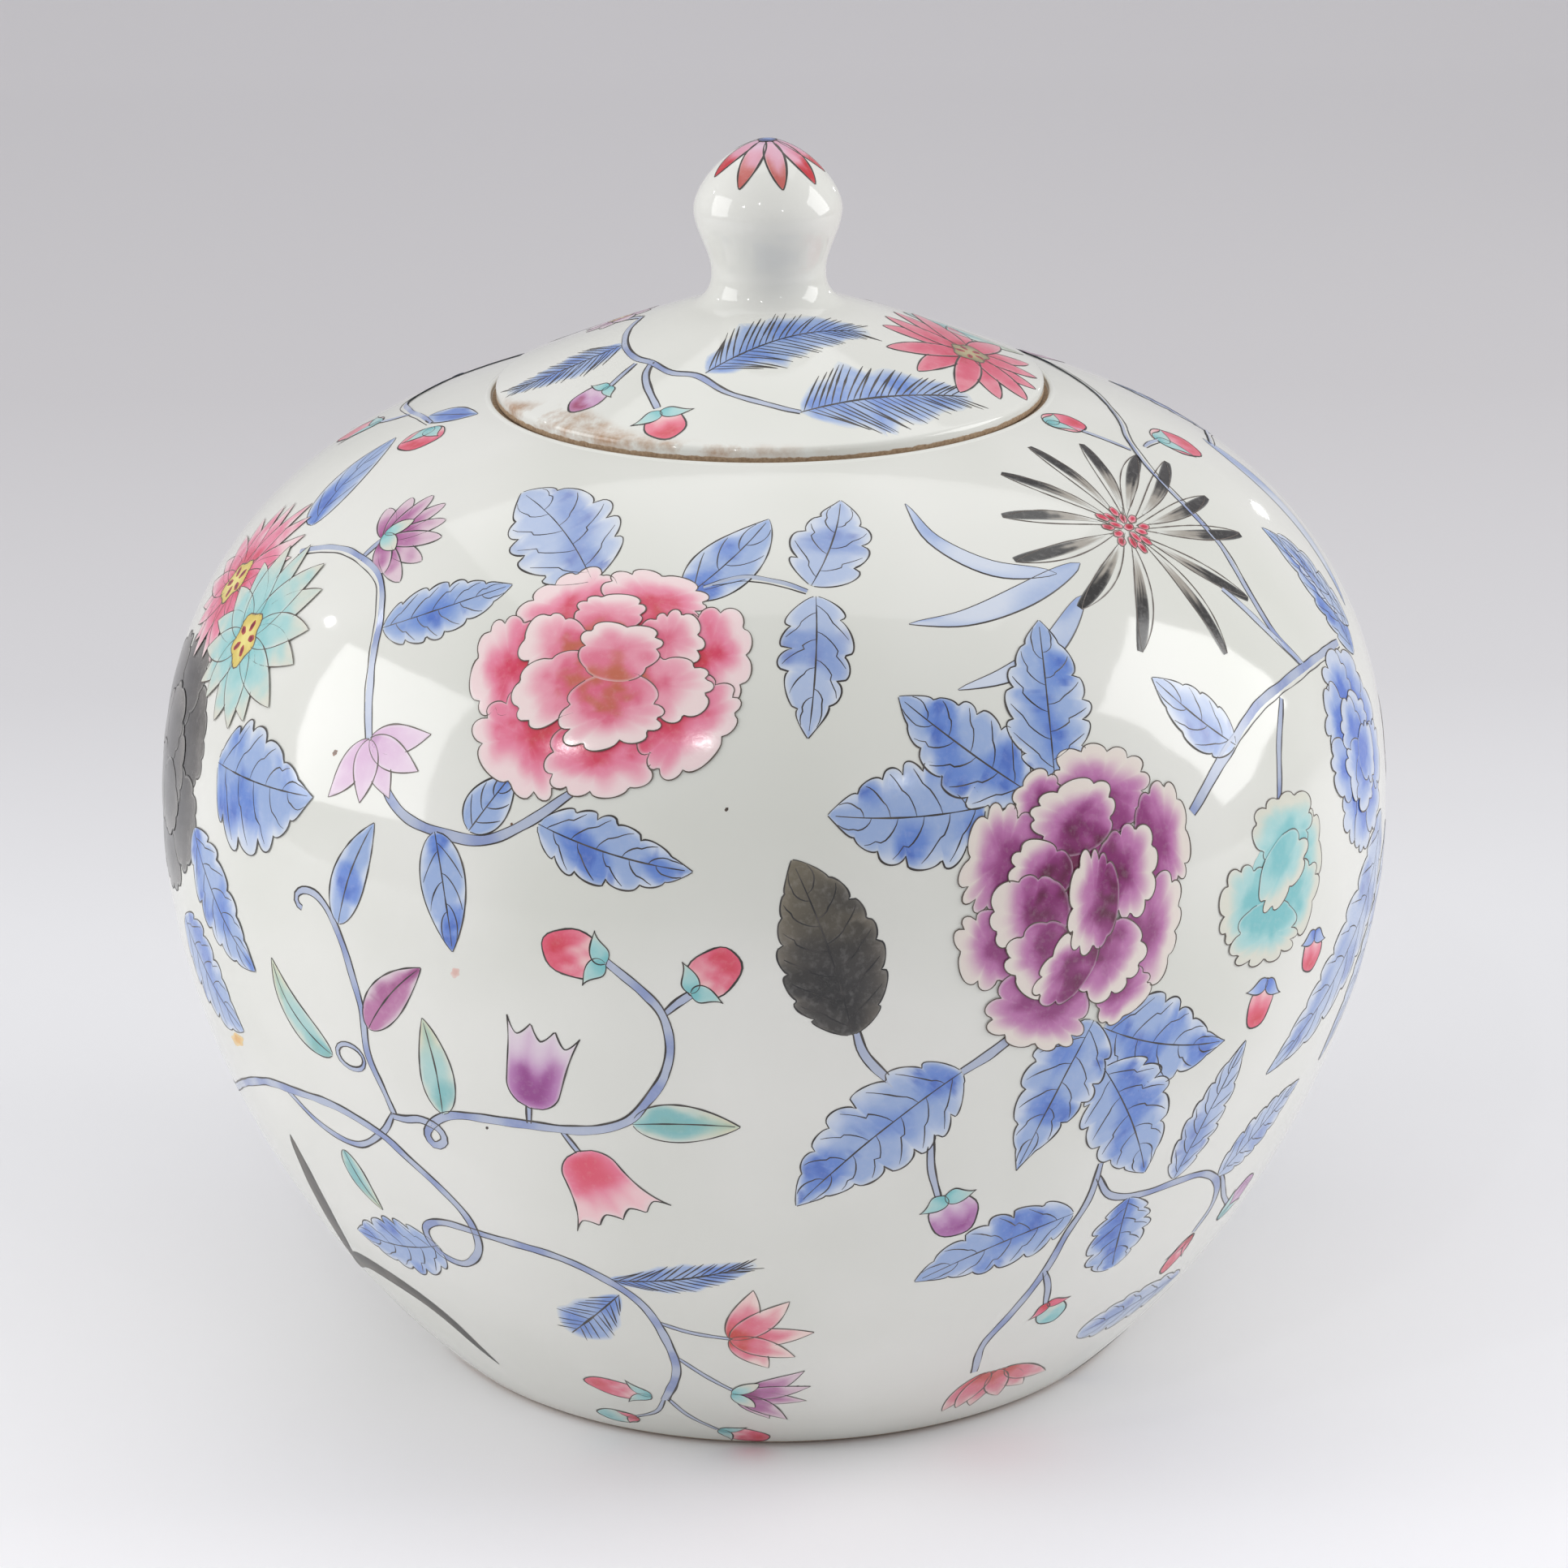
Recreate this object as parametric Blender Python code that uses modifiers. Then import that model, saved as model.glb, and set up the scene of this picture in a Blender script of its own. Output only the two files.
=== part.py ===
"""Ginger jar: a globe-shaped porcelain jar with a low lid and a bud-shaped finial.

Metres, +Z up. The origin is the middle of the foot's resting plane, and the jar's axis is Z.
The clay pieces are all turned on that axis: the thrown jar, the lid's dome, the locating flange
luted under it, and the finial luted on top. The lid's three pieces hang from one empty on the
axis, at the height of the ledge that the lid stands on.
"""

import bpy
from math import atan, cos, hypot, pi, sin

# Belly: two superellipse quarters that meet at the widest height.
BELLY_RADIUS = 0.115
BELLY_HEIGHT = 0.100
UPPER_REACH = 0.0867
UPPER_FULLNESS = 2.48
LOWER_REACH = 0.1335
LOWER_FULLNESS = 1.75

# Wall and floor.
WALL = 0.0055
FLOOR_HEIGHT = 0.0150
FLOOR_FILLET = 0.0150

# Foot ring, left unglazed where it rests.
FOOT_OUTER_RADIUS = 0.0672
FOOT_INNER_RADIUS = 0.0605
FOOT_CHAMFER = 0.0012
FOOT_TAPER = 0.0010
FOOT_RECESS = 0.0070
FOOT_CROWN = 0.0010

# Mouth: a low lip, and inside it the flat ledge that the lid's edge stands on.
LIP_OUTER_RADIUS = 0.0525
LIP_INNER_RADIUS = 0.0513
LIP_ROUND = 0.0005
LEDGE_HEIGHT = 0.1808
LEDGE_DROP = 0.0009
MOUTH_RADIUS = 0.0458
MOUTH_CHAMFER = 0.0004
COLLAR_DEPTH = 0.0065
COLLAR_STEP = 0.0015

# Touching pieces keep this gap.
GAP = 0.0003

# Lid: an unglazed upright edge, a rounded shoulder, a straight cone and a flare up to the neck.
LID_RADIUS = 0.0504
LID_EDGE_HEIGHT = 0.0019
LID_EDGE_ROUND = 0.0012
LID_EDGE_CHAMFER = 0.0003
LID_SLOPE = atan(0.39)
LID_THICKNESS = 0.0046
LID_LAND_WIDTH = 0.0100
NECK_RADIUS = 0.0105
NECK_FLARE = 0.0060
CROWN_THICKNESS = 0.0085
CEILING_ROUND = 0.0030

# Locating flange, luted under the lid.
FLANGE_OUTER_RADIUS = 0.0446
FLANGE_WIDTH = 0.0034
FLANGE_DEPTH = 0.0120
FLANGE_ROUND = 0.0010

# Finial: a straight-sided bud on a narrow neck.
FINIAL_RADIUS = 0.0136
FINIAL_HEIGHT = 0.0245
FINIAL_WIDEST = 0.0120
FINIAL_FULLNESS = 1.6

# Facets round each turned piece.
JAR_STEPS = 60
LID_STEPS = 48
FLANGE_STEPS = 40
FINIAL_STEPS = 32


def clear_scene():
    for obj in list(bpy.data.objects):
        bpy.data.objects.remove(obj, do_unlink=True)


def clay(name, colour, roughness, coat):
    """A material for one kind of surface: linear colour, roughness, and its coat of glaze."""
    material = bpy.data.materials.new(name)
    material.use_nodes = True
    shader = material.node_tree.nodes["Principled BSDF"]
    shader.inputs["Base Color"].default_value = (*colour, 1.0)
    shader.inputs["Roughness"].default_value = roughness
    shader.inputs["Metallic"].default_value = 0.0
    shader.inputs["Coat Weight"].default_value = coat
    material.diffuse_color = (*colour, 1.0)
    return material


def arc(centre, radius, start, end, count):
    """Points (r, z) along an arc, with angles in radians from +r towards +z."""
    turns = [start + (end - start) * i / (count - 1) for i in range(count)]
    return [(centre[0] + radius * cos(turn), centre[1] + radius * sin(turn)) for turn in turns]


def bowed(part, fullness):
    """Share of the widest radius that is left, this part of the way to a superellipse's pole."""
    return (1.0 - part**fullness) ** (1.0 / fullness)


def belly_radius(height):
    """Outer radius of the globe at a height above the foot."""
    if height >= BELLY_HEIGHT:
        return BELLY_RADIUS * bowed((height - BELLY_HEIGHT) / UPPER_REACH, UPPER_FULLNESS)
    return BELLY_RADIUS * bowed((BELLY_HEIGHT - height) / LOWER_REACH, LOWER_FULLNESS)


def shoulder_height(radius):
    """Height at which the upper half of the globe has this radius."""
    return BELLY_HEIGHT + UPPER_REACH * bowed(radius / BELLY_RADIUS, UPPER_FULLNESS)


def belly_curve(top, bottom, count):
    """Points of the globe from the top height down to the bottom one, closer near both ends."""
    middle = (top + bottom) / 2
    half = (top - bottom) / 2
    heights = [middle + half * cos(pi * i / (count - 1)) for i in range(count)]
    return [(belly_radius(height), height) for height in heights]


def moved_in(points, distance):
    """The same curve moved in along its normals. The curve runs down the outer side."""
    moved = []
    for i, (r, z) in enumerate(points):
        before = points[max(i - 1, 0)]
        after = points[min(i + 1, len(points) - 1)]
        along_r = after[0] - before[0]
        along_z = after[1] - before[1]
        share = distance / hypot(along_r, along_z)
        moved.append((r + along_z * share, z - along_r * share))
    return moved


def jar_profile():
    """From the middle of the floor, up inside, over the lip, down outside and under the foot."""
    outer = belly_curve(shoulder_height(LIP_OUTER_RADIUS), FOOT_CHAMFER, 22)

    collar_bottom = LEDGE_HEIGHT - COLLAR_DEPTH
    inner = moved_in(belly_curve(shoulder_height(MOUTH_RADIUS), FOOT_CHAMFER, 17), WALL)
    inner = [p for p in inner if FLOOR_HEIGHT + FLOOR_FILLET < p[1] < collar_bottom]
    inner.reverse()
    fillet_centre = (inner[0][0] - FLOOR_FILLET - COLLAR_STEP, FLOOR_HEIGHT + FLOOR_FILLET)
    floor = [(0.0, FLOOR_HEIGHT)]
    floor += arc(fillet_centre, FLOOR_FILLET, -pi / 2, -pi / 8, 5)

    mouth = [
        (MOUTH_RADIUS + COLLAR_STEP, collar_bottom),
        (MOUTH_RADIUS, collar_bottom + COLLAR_STEP),
        (MOUTH_RADIUS, LEDGE_HEIGHT - MOUTH_CHAMFER),
        (MOUTH_RADIUS + MOUTH_CHAMFER, LEDGE_HEIGHT),
        (LIP_INNER_RADIUS, LEDGE_HEIGHT),
        (LIP_INNER_RADIUS, LEDGE_HEIGHT + LEDGE_DROP),
        (LIP_OUTER_RADIUS - LIP_ROUND, LEDGE_HEIGHT + LEDGE_DROP + LIP_ROUND / 4),
    ]
    foot = [
        (FOOT_OUTER_RADIUS, 0.0),
        (FOOT_INNER_RADIUS, 0.0),
        (FOOT_INNER_RADIUS - FOOT_TAPER, FOOT_RECESS - FOOT_TAPER),
        (FOOT_INNER_RADIUS - 3 * FOOT_TAPER, FOOT_RECESS),
        (0.0, FOOT_RECESS + FOOT_CROWN),
    ]
    return floor + inner + mouth + outer + foot


def neck_height():
    """Height, above the ledge, of the lid's flat top, where its flare turns upright."""
    cone_top = NECK_RADIUS + NECK_FLARE * (1 - sin(LID_SLOPE))
    cone_foot = LID_RADIUS - LID_EDGE_ROUND * (1 - sin(LID_SLOPE))
    climb = (cone_foot - cone_top) * sin(LID_SLOPE) / cos(LID_SLOPE)
    edge = GAP + LID_EDGE_HEIGHT + LID_EDGE_ROUND * cos(LID_SLOPE)
    return edge + climb + NECK_FLARE * cos(LID_SLOPE)


def lid_dome_profile():
    """Heights are above the ledge. The flat top of the neck takes the finial."""
    top = neck_height()
    edge_centre = (LID_RADIUS - LID_EDGE_ROUND, GAP + LID_EDGE_HEIGHT)
    edge = arc(edge_centre, LID_EDGE_ROUND, pi / 2 - LID_SLOPE, 0.0, 4)
    flare = arc((NECK_RADIUS + NECK_FLARE, top), NECK_FLARE, pi, 3 * pi / 2 - LID_SLOPE, 7)

    land_inner = LID_RADIUS - LID_LAND_WIDTH
    rise = sin(LID_SLOPE) / cos(LID_SLOPE)
    under_edge = edge[0][1] + rise * (edge[0][0] - land_inner) - LID_THICKNESS
    ceiling = top - CROWN_THICKNESS
    ceiling_radius = land_inner - (ceiling - under_edge) / rise
    under = [
        (LID_RADIUS, GAP + LID_EDGE_CHAMFER),
        (LID_RADIUS - LID_EDGE_CHAMFER, GAP),
        (land_inner, GAP),
        (land_inner, under_edge),
        (ceiling_radius + CEILING_ROUND, ceiling - CEILING_ROUND * rise),
        (ceiling_radius - CEILING_ROUND, ceiling),
        (0.0, ceiling),
    ]
    return [(0.0, top)] + flare + edge + under


def flange_profile():
    """A ring, as a closed loop that starts at its outer top corner."""
    inner = FLANGE_OUTER_RADIUS - FLANGE_WIDTH
    bottom = -FLANGE_DEPTH
    outer_round = (FLANGE_OUTER_RADIUS - FLANGE_ROUND, bottom + FLANGE_ROUND)
    inner_round = (inner + FLANGE_ROUND, bottom + FLANGE_ROUND)
    loop = [(FLANGE_OUTER_RADIUS, 0.0)]
    loop += arc(outer_round, FLANGE_ROUND, 0.0, -pi / 2, 4)
    loop += arc(inner_round, FLANGE_ROUND, -pi / 2, -pi, 4)
    loop.append((inner, 0.0))
    return loop


def finial_profile():
    """From the tip down to the flat base, which stands on the neck."""
    base = neck_height() + GAP
    reach = FINIAL_HEIGHT - FINIAL_WIDEST
    dome = []
    for i in range(11):
        part = sin(pi / 2 * (10 - i) / 10)
        dome.append((FINIAL_RADIUS * bowed(part, FINIAL_FULLNESS), base + FINIAL_WIDEST + reach * part))
    taper = []
    for i in range(1, 8):
        part = i / 7
        swell = cos(part * pi / 2) ** 2
        radius = NECK_RADIUS + (FINIAL_RADIUS - NECK_RADIUS) * swell
        taper.append((radius, base + FINIAL_WIDEST * (1 - part)))
    return dome + taper + [(0.0, base)]


def turned(name, profile, steps, material, collection, closed=False):
    """A solid turned on Z from a profile of (r, z) points that runs down its outer side."""
    count = len(profile)
    edges = [(i, i + 1) for i in range(count - 1)]
    if closed:
        edges.append((count - 1, 0))
    mesh = bpy.data.meshes.new(name)
    mesh.from_pydata([(r, 0.0, z) for r, z in profile], edges, [])
    mesh.materials.append(material)
    obj = bpy.data.objects.new(name, mesh)
    collection.objects.link(obj)
    screw = obj.modifiers.new("Turn", "SCREW")
    screw.axis = "Z"
    screw.angle = 2 * pi
    screw.steps = steps
    screw.render_steps = steps
    screw.use_merge_vertices = True
    screw.merge_threshold = 0.00001
    screw.use_smooth_shade = True
    return obj


def build():
    clear_scene()
    jar_collection = bpy.data.collections.new("ginger_jar")
    bpy.context.scene.collection.children.link(jar_collection)

    glazed = clay("glazed_porcelain", (0.76, 0.78, 0.74), 0.12, 0.6)
    biscuit = clay("unglazed_biscuit", (0.46, 0.33, 0.21), 0.85, 0.0)

    turned("jar_body", jar_profile(), JAR_STEPS, glazed, jar_collection)

    lid_axis = bpy.data.objects.new("lid_axis", None)
    lid_axis.location = (0.0, 0.0, LEDGE_HEIGHT)
    jar_collection.objects.link(lid_axis)
    lid_pieces = [
        turned("lid_dome", lid_dome_profile(), LID_STEPS, glazed, jar_collection),
        turned("lid_flange", flange_profile(), FLANGE_STEPS, biscuit, jar_collection, closed=True),
        turned("finial", finial_profile(), FINIAL_STEPS, glazed, jar_collection),
    ]
    for piece in lid_pieces:
        piece.parent = lid_axis


build()
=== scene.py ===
import math
import bpy
import numpy as np
from mathutils import Matrix, Vector


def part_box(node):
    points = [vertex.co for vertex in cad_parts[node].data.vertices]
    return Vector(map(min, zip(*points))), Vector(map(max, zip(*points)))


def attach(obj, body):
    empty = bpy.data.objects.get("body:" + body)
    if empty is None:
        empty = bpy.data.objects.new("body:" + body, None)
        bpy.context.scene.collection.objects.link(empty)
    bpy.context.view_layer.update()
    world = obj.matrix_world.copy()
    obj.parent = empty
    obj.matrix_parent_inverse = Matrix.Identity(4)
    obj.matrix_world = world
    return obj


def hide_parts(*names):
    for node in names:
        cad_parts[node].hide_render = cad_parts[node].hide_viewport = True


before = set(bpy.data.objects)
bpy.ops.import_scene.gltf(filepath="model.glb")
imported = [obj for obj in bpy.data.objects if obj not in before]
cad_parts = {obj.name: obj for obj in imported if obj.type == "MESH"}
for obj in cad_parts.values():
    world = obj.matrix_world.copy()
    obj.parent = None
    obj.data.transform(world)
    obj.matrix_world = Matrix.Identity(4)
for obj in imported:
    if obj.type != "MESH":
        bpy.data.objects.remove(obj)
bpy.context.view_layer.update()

mm = 0.001
jarLow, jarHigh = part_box("jar_body")
lidLow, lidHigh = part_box("lid_dome")
flangeLow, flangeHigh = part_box("lid_flange")
knobLow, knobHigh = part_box("finial")
print("frame read: jar", [round(v, 4) for v in jarHigh], "lid", [round(v, 4) for v in lidHigh])


def hexToSrgb(hexText):  # "#rrggbb" to three numbers from 0 to 1, still display-coded
    return np.array([int(hexText[i:i + 2], 16) / 255 for i in (1, 3, 5)])


def toLinear(srgb):  # display-coded to linear: c/12.92 below 0.04045, else ((c+0.055)/1.055)^2.4
    srgb = np.clip(srgb, 0, 1)
    return np.where(srgb <= 0.04045, srgb / 12.92, ((srgb + 0.055) / 1.055) ** 2.4)


def hexColour(hexText):
    return (*toLinear(hexToSrgb(hexText)), 1.0)


def smooth(low, high, value):  # 0 below low, 1 above high, an S curve between
    part = np.clip((value - low) / (high - low), 0, 1)
    return part * part * (3 - 2 * part)


def blend(first, second, share):  # share is an array; first and second end in three channels
    share = np.asarray(share)[..., None]
    return first * (1 - share) + second * share


def mottle(x, y, size, seed):
    # soft patches from -1 to 1: five sine waves of about one size in seeded directions
    rng = np.random.default_rng(seed)
    total = np.zeros(np.broadcast(x, y).shape)
    for turn, phase, stretch in zip(rng.uniform(0, 6.28, 5), rng.uniform(0, 6.28, 5),
                                    rng.uniform(0.6, 1.7, 5)):
        total += np.sin((x * math.cos(turn) + y * math.sin(turn)) * 6.28 * stretch / size + phase)
    return total / 2.5


globe = dict(radius=115 * mm, belly=100 * mm, upperReach=86.7 * mm, upperFull=2.48,
             lowerReach=133.5 * mm, lowerFull=1.75, throwingRings=0.035 * mm, ringSpacing=9 * mm,
             ringTop=0.18)
mouth = dict(lipOuter=52.5 * mm, lipInner=51.3 * mm, ledge=180.8 * mm, ledgeDrop=0.9 * mm,
             bore=45.8 * mm, collar=6.5 * mm, wall=5.5 * mm)
foot = dict(outer=67.2 * mm, inner=60.5 * mm, chamfer=1.2 * mm, recess=7 * mm, floor=15 * mm)
lid = dict(radius=lidHigh[0], bottom=lidLow[2], top=lidHigh[2], edge=1.9 * mm, edgeRound=1.2 * mm,
           slope=math.atan(0.39), flare=6 * mm, neck=10.5 * mm, land=10 * mm, thick=4.6 * mm, crown=8.5 * mm)
knob = dict(radius=13.6 * mm, neck=10.5 * mm, bottom=knobLow[2], top=knobHigh[2], widest=12 * mm, full=1.6)


def bowed(part, fullness):  # (1 - part^n)^(1/n), a superellipse quarter
    return np.maximum(1 - np.clip(part, 0, 1) ** fullness, 0) ** (1 / fullness)


def globeRadius(z):
    up = bowed((z - globe["belly"]) / globe["upperReach"], globe["upperFull"])
    down = bowed((globe["belly"] - z) / globe["lowerReach"], globe["lowerFull"])
    fading = np.sin(np.pi * np.clip(z / globe["ringTop"], 0, 1))
    rings = globe["throwingRings"] * np.sin(6.28 * z / globe["ringSpacing"]) * fading
    return globe["radius"] * np.where(z > globe["belly"], up, down) + rings


def shoulderHeight(r):
    return globe["belly"] + globe["upperReach"] * bowed(r / globe["radius"], globe["upperFull"])


def arc(cr, cz, radius, start, end, count):
    turn = np.linspace(start, end, count)
    return np.stack([cr + radius * np.cos(turn), cz + radius * np.sin(turn)], 1)


def globeOuter(count):  # down the outside, from the lip to the foot's chamfer
    top = float(shoulderHeight(mouth["lipOuter"]))
    low = foot["chamfer"]
    z = (top + low) / 2 + (top - low) / 2 * np.cos(np.linspace(0, np.pi, count))
    return np.stack([globeRadius(z), z], 1)


def lidOuter(count):  # down the outside: flare from the neck, straight cone, rounded shoulder
    s = lid["slope"]
    flare = arc(lid["neck"] + lid["flare"], lid["top"], lid["flare"], math.pi, 1.5 * math.pi - s, 16)
    edge = arc(lid["radius"] - lid["edgeRound"], lid["bottom"] + lid["edge"], lid["edgeRound"],
               math.pi / 2 - s, 0, 9)
    part = np.linspace(0, 1, count)[1:-1, None]
    cone = flare[-1] * (1 - part) + edge[0] * part
    crown = 0.35 * mm * np.sin(np.pi * part[:, 0])  # the cone is a hair fuller than straight
    cone = cone + np.stack([crown * math.sin(s), crown * math.cos(s)], 1)
    return np.concatenate([flare, cone, edge])


def knobOuter(count):  # tip to neck: a superellipse dome, then a cosine-squared taper
    rise = knob["top"] - knob["bottom"] - knob["widest"]
    part = np.sin(np.linspace(np.pi / 2, 0, count))
    dome = np.stack([knob["radius"] * bowed(part, knob["full"]),
                     knob["bottom"] + knob["widest"] + rise * part], 1)
    down = np.linspace(0, 1, count)[1:]
    taper = knob["neck"] + (knob["radius"] - knob["neck"]) * np.cos(down * np.pi / 2) ** 2
    return np.concatenate([dome, np.stack([taper, knob["bottom"] + knob["widest"] * (1 - down)], 1)])


def polarTable(points, centre):
    # a profile as distance from a centre on the axis against latitude seen from it
    lat = np.arctan2(points[:, 1] - centre, points[:, 0])
    rho = np.hypot(points[:, 1] - centre, points[:, 0])
    order = np.argsort(lat)
    return dict(centre=centre, lat=lat[order], rho=rho[order])


surfaces = {
    "globe": polarTable(globeOuter(400), globe["belly"]),
    "lid": polarTable(lidOuter(60), globe["belly"]),
    "knob": polarTable(knobOuter(60), knob["bottom"] + 10 * mm),
}


def direction(lon, lat):  # unit vector; longitude 0 is the front (-Y), degrees
    lon, lat = np.radians(lon), np.radians(lat)
    return np.stack([np.cos(lat) * np.sin(lon), -np.cos(lat) * np.cos(lon), np.sin(lat)], -1)


def reach(surface, dirs):  # distance from the surface's centre along unit directions
    table = surfaces[surface]
    return np.interp(np.arcsin(np.clip(dirs[..., 2], -1, 1)), table["lat"], table["rho"])


def cast(surface, dirs, lift):  # points at lift above the surface
    out = (reach(surface, dirs) + lift)[..., None] * dirs
    out[..., 2] += surfaces[surface]["centre"]
    return out


def wrap(surface, origin, flat, turn=0.0):
    # a flat drawing in metres, x east and y up before its turn, laid on the surface by great circles
    c, s = math.cos(turn), math.sin(turn)
    x = flat[..., 0] * c - flat[..., 1] * s
    y = flat[..., 0] * s + flat[..., 1] * c
    d0 = direction(*origin)
    east = np.array([-d0[1], d0[0], 0.0])
    east /= np.linalg.norm(east)
    north = np.cross(d0, east)
    far = np.hypot(x, y)
    angle = far / reach(surface, d0[None])[0]
    bearing = (x[..., None] * east + y[..., None] * north) / np.maximum(far, 1e-9)[..., None]
    return np.cos(angle)[..., None] * d0 + np.sin(angle)[..., None] * bearing


def aim(surface, base, tip):  # length in metres and turn of a great circle from base to tip
    d0, d1 = direction(*base), direction(*tip)
    east = np.array([-d0[1], d0[0], 0.0])
    east /= np.linalg.norm(east)
    north = np.cross(d0, east)
    angle = math.acos(float(np.clip(d0 @ d1, -1, 1)))
    mean = (reach(surface, d0[None])[0] + reach(surface, d1[None])[0]) / 2
    return angle * mean, math.atan2(-float(d1 @ east), float(d1 @ north))


paint = {}
easel = dict(plant="", surface="globe")  # the plant being painted and what it is painted on


def startPlant(plant, surface="globe"):
    easel.update(plant=plant, surface=surface)
    print("painting", plant)


def pieceOf(kind):
    name = easel["plant"] + kind
    return paint.setdefault(name, dict(points=[], faces=[], colours=[], count=0, surface=easel["surface"]))


def addGrid(kind, points, colours, around=False):
    # rows by columns of points, faces turned outwards; around joins the last column to the first
    # and closes the first row to one point
    piece = pieceOf(kind)
    rows, columns = points.shape[:2]
    index = np.arange(rows * columns).reshape(rows, columns)
    fan = np.zeros((0, 3), int)
    colours = np.broadcast_to(colours, points.shape)
    if around:
        heart = np.full(columns, rows * columns)
        fan = np.stack([heart, np.roll(index[0], -1), index[0]], -1)
        points = np.concatenate([points.reshape(-1, 3), points[0].mean(0, keepdims=True)])
        colours = np.concatenate([colours.reshape(-1, 3), colours[0].mean(0, keepdims=True)])
    right = np.roll(index, -1, 1) if around else index[:, 1:]
    left = index if around else index[:, :-1]
    quads = np.stack([left[:-1], right[:-1], right[1:], left[1:]], -1).reshape(-1, 4)
    a, b, c = (points.reshape(-1, 3)[quads[:, i]] for i in range(3))
    facing = (np.cross(b - a, c - a) * (a - [0, 0, globe["belly"]])).sum()
    if facing < 0:
        quads, fan = quads[:, ::-1], fan[:, ::-1]
    piece["points"].append(points.reshape(-1, 3))
    piece["colours"].append(colours.reshape(-1, 3))
    piece["faces"] += (quads + piece["count"]).tolist() + (fan + piece["count"]).tolist()
    piece["count"] += len(piece["points"][-1])


brush = dict(inkLift=0.010 * mm, inkSwell=0.007 * mm, baseLift=0.03 * mm, stackStep=0.022 * mm)
inkTones = dict(dark=toLinear(hexToSrgb("#332e2b")), brown=toLinear(hexToSrgb("#6d5f52")),
                umber=toLinear(hexToSrgb("#52463d")), black=toLinear(hexToSrgb("#262627")))
glazeTint = hexToSrgb("#dddfd9")


def seat(origin, turn=0.0, stack=0):  # where a flat drawing goes, and how high it lies in the paint
    return dict(surface=easel["surface"], origin=origin, turn=turn,
                lift=brush["baseLift"] + stack * brush["stackStep"])


def ribbon(kind, surface, dirs, width, lift, colours, swell=0.0):
    # a band along a line of directions, half a width to each side; its middle stands swell higher
    points = cast(surface, dirs, lift)
    side = np.cross(dirs, np.gradient(points, axis=0))
    side /= np.maximum(np.linalg.norm(side, axis=1), 1e-12)[:, None]
    across = np.array([-1.0, 0.0, 1.0])
    half = np.broadcast_to(np.asarray(width) / 2, len(dirs))
    grid = points[:, None] + side[:, None] * (half[:, None] * across)[..., None]
    grid = grid + dirs[:, None] * (swell * (1 - np.abs(across)))[None, :, None]
    addGrid(kind, grid, colours[:, None] if np.ndim(colours) == 2 else colours)


def inkLine(where, flat, width, tone="dark", taper=0.35, seed=11):
    # a brush line through flat points: full in the middle, thinner to both ends, with a slight wobble
    flat = np.asarray(flat, float)
    part = np.linspace(0.02, 0.98, len(flat))
    shape = taper + (1 - taper) * np.sin(np.pi * part) ** 0.6
    wobble = 1 + 0.28 * mottle(flat[:, 0], flat[:, 1], 5 * mm, seed)
    dirs = wrap(where["surface"], where["origin"], flat, where["turn"])
    lift = where["lift"] + brush["inkLift"]
    ribbon("Ink", where["surface"], dirs, width * mm * shape * wobble, lift, inkTones[tone],
           brush["inkSwell"])


def wash(where, flat, colours, inside, around=False):
    # a coat of enamel; inside is 0 at the border, where the coat rounds down to what it lies on
    dirs = wrap(where["surface"], where["origin"], flat, where["turn"])
    lift = where["lift"] - brush["stackStep"] * 0.8 * (inside < 0.02)
    addGrid("Enamel", cast(where["surface"], dirs, lift), toLinear(colours), around)


def sideways(middle):  # unit vectors across a flat line
    along = np.gradient(middle, axis=0)
    along /= np.maximum(np.linalg.norm(along, axis=1), 1e-12)[:, None]
    return np.stack([along[:, 1], -along[:, 0]], 1)


def midrib(length, bend, part):  # a line up y, bowed sideways by bend times half its length
    return np.stack([bend * length * 2 * part * (1 - part), length * part], -1)


leafColours = dict(
    blue=("#c6d1e4", "#98aed6", "#5f82cc", "#3f5fb4"),
    paleBlue=("#cdd5e3", "#adbddb", "#8199cd", "#6678b8"),
    teal=("#cfd5c8", "#a9cdc9", "#7ab6b8", "#83b3ab"),
    magenta=("#d3bfc9", "#b5749f", "#8f4178", "#722758"),
    charcoal=("#5c564e", "#363432", "#201f1f", "#171717"),
)


def leafWidth(part, lobes, depth, wide, seed):
    # half width against the way up the midrib, widest at wide, with rounded teeth that lean to the tip;
    # the teeth are uneven in length and die out before the tip
    body = (part / wide) ** 0.6 * ((1 - part) / (1 - wide)) ** (0.72 * (1 - wide) / wide)
    if not lobes:
        return body
    count = part * lobes + 0.16 * np.sin(6.28 * part * 1.4 + seed)
    tooth = count % 1.0
    size = depth * (1 + 0.35 * np.sin(2.7 * np.floor(count) + seed)) * smooth(1.0, 0.78, part)
    return body * (1 + size * (1.75 * tooth ** 0.55 * (1 - tooth) ** 0.22 - 0.75))


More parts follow.
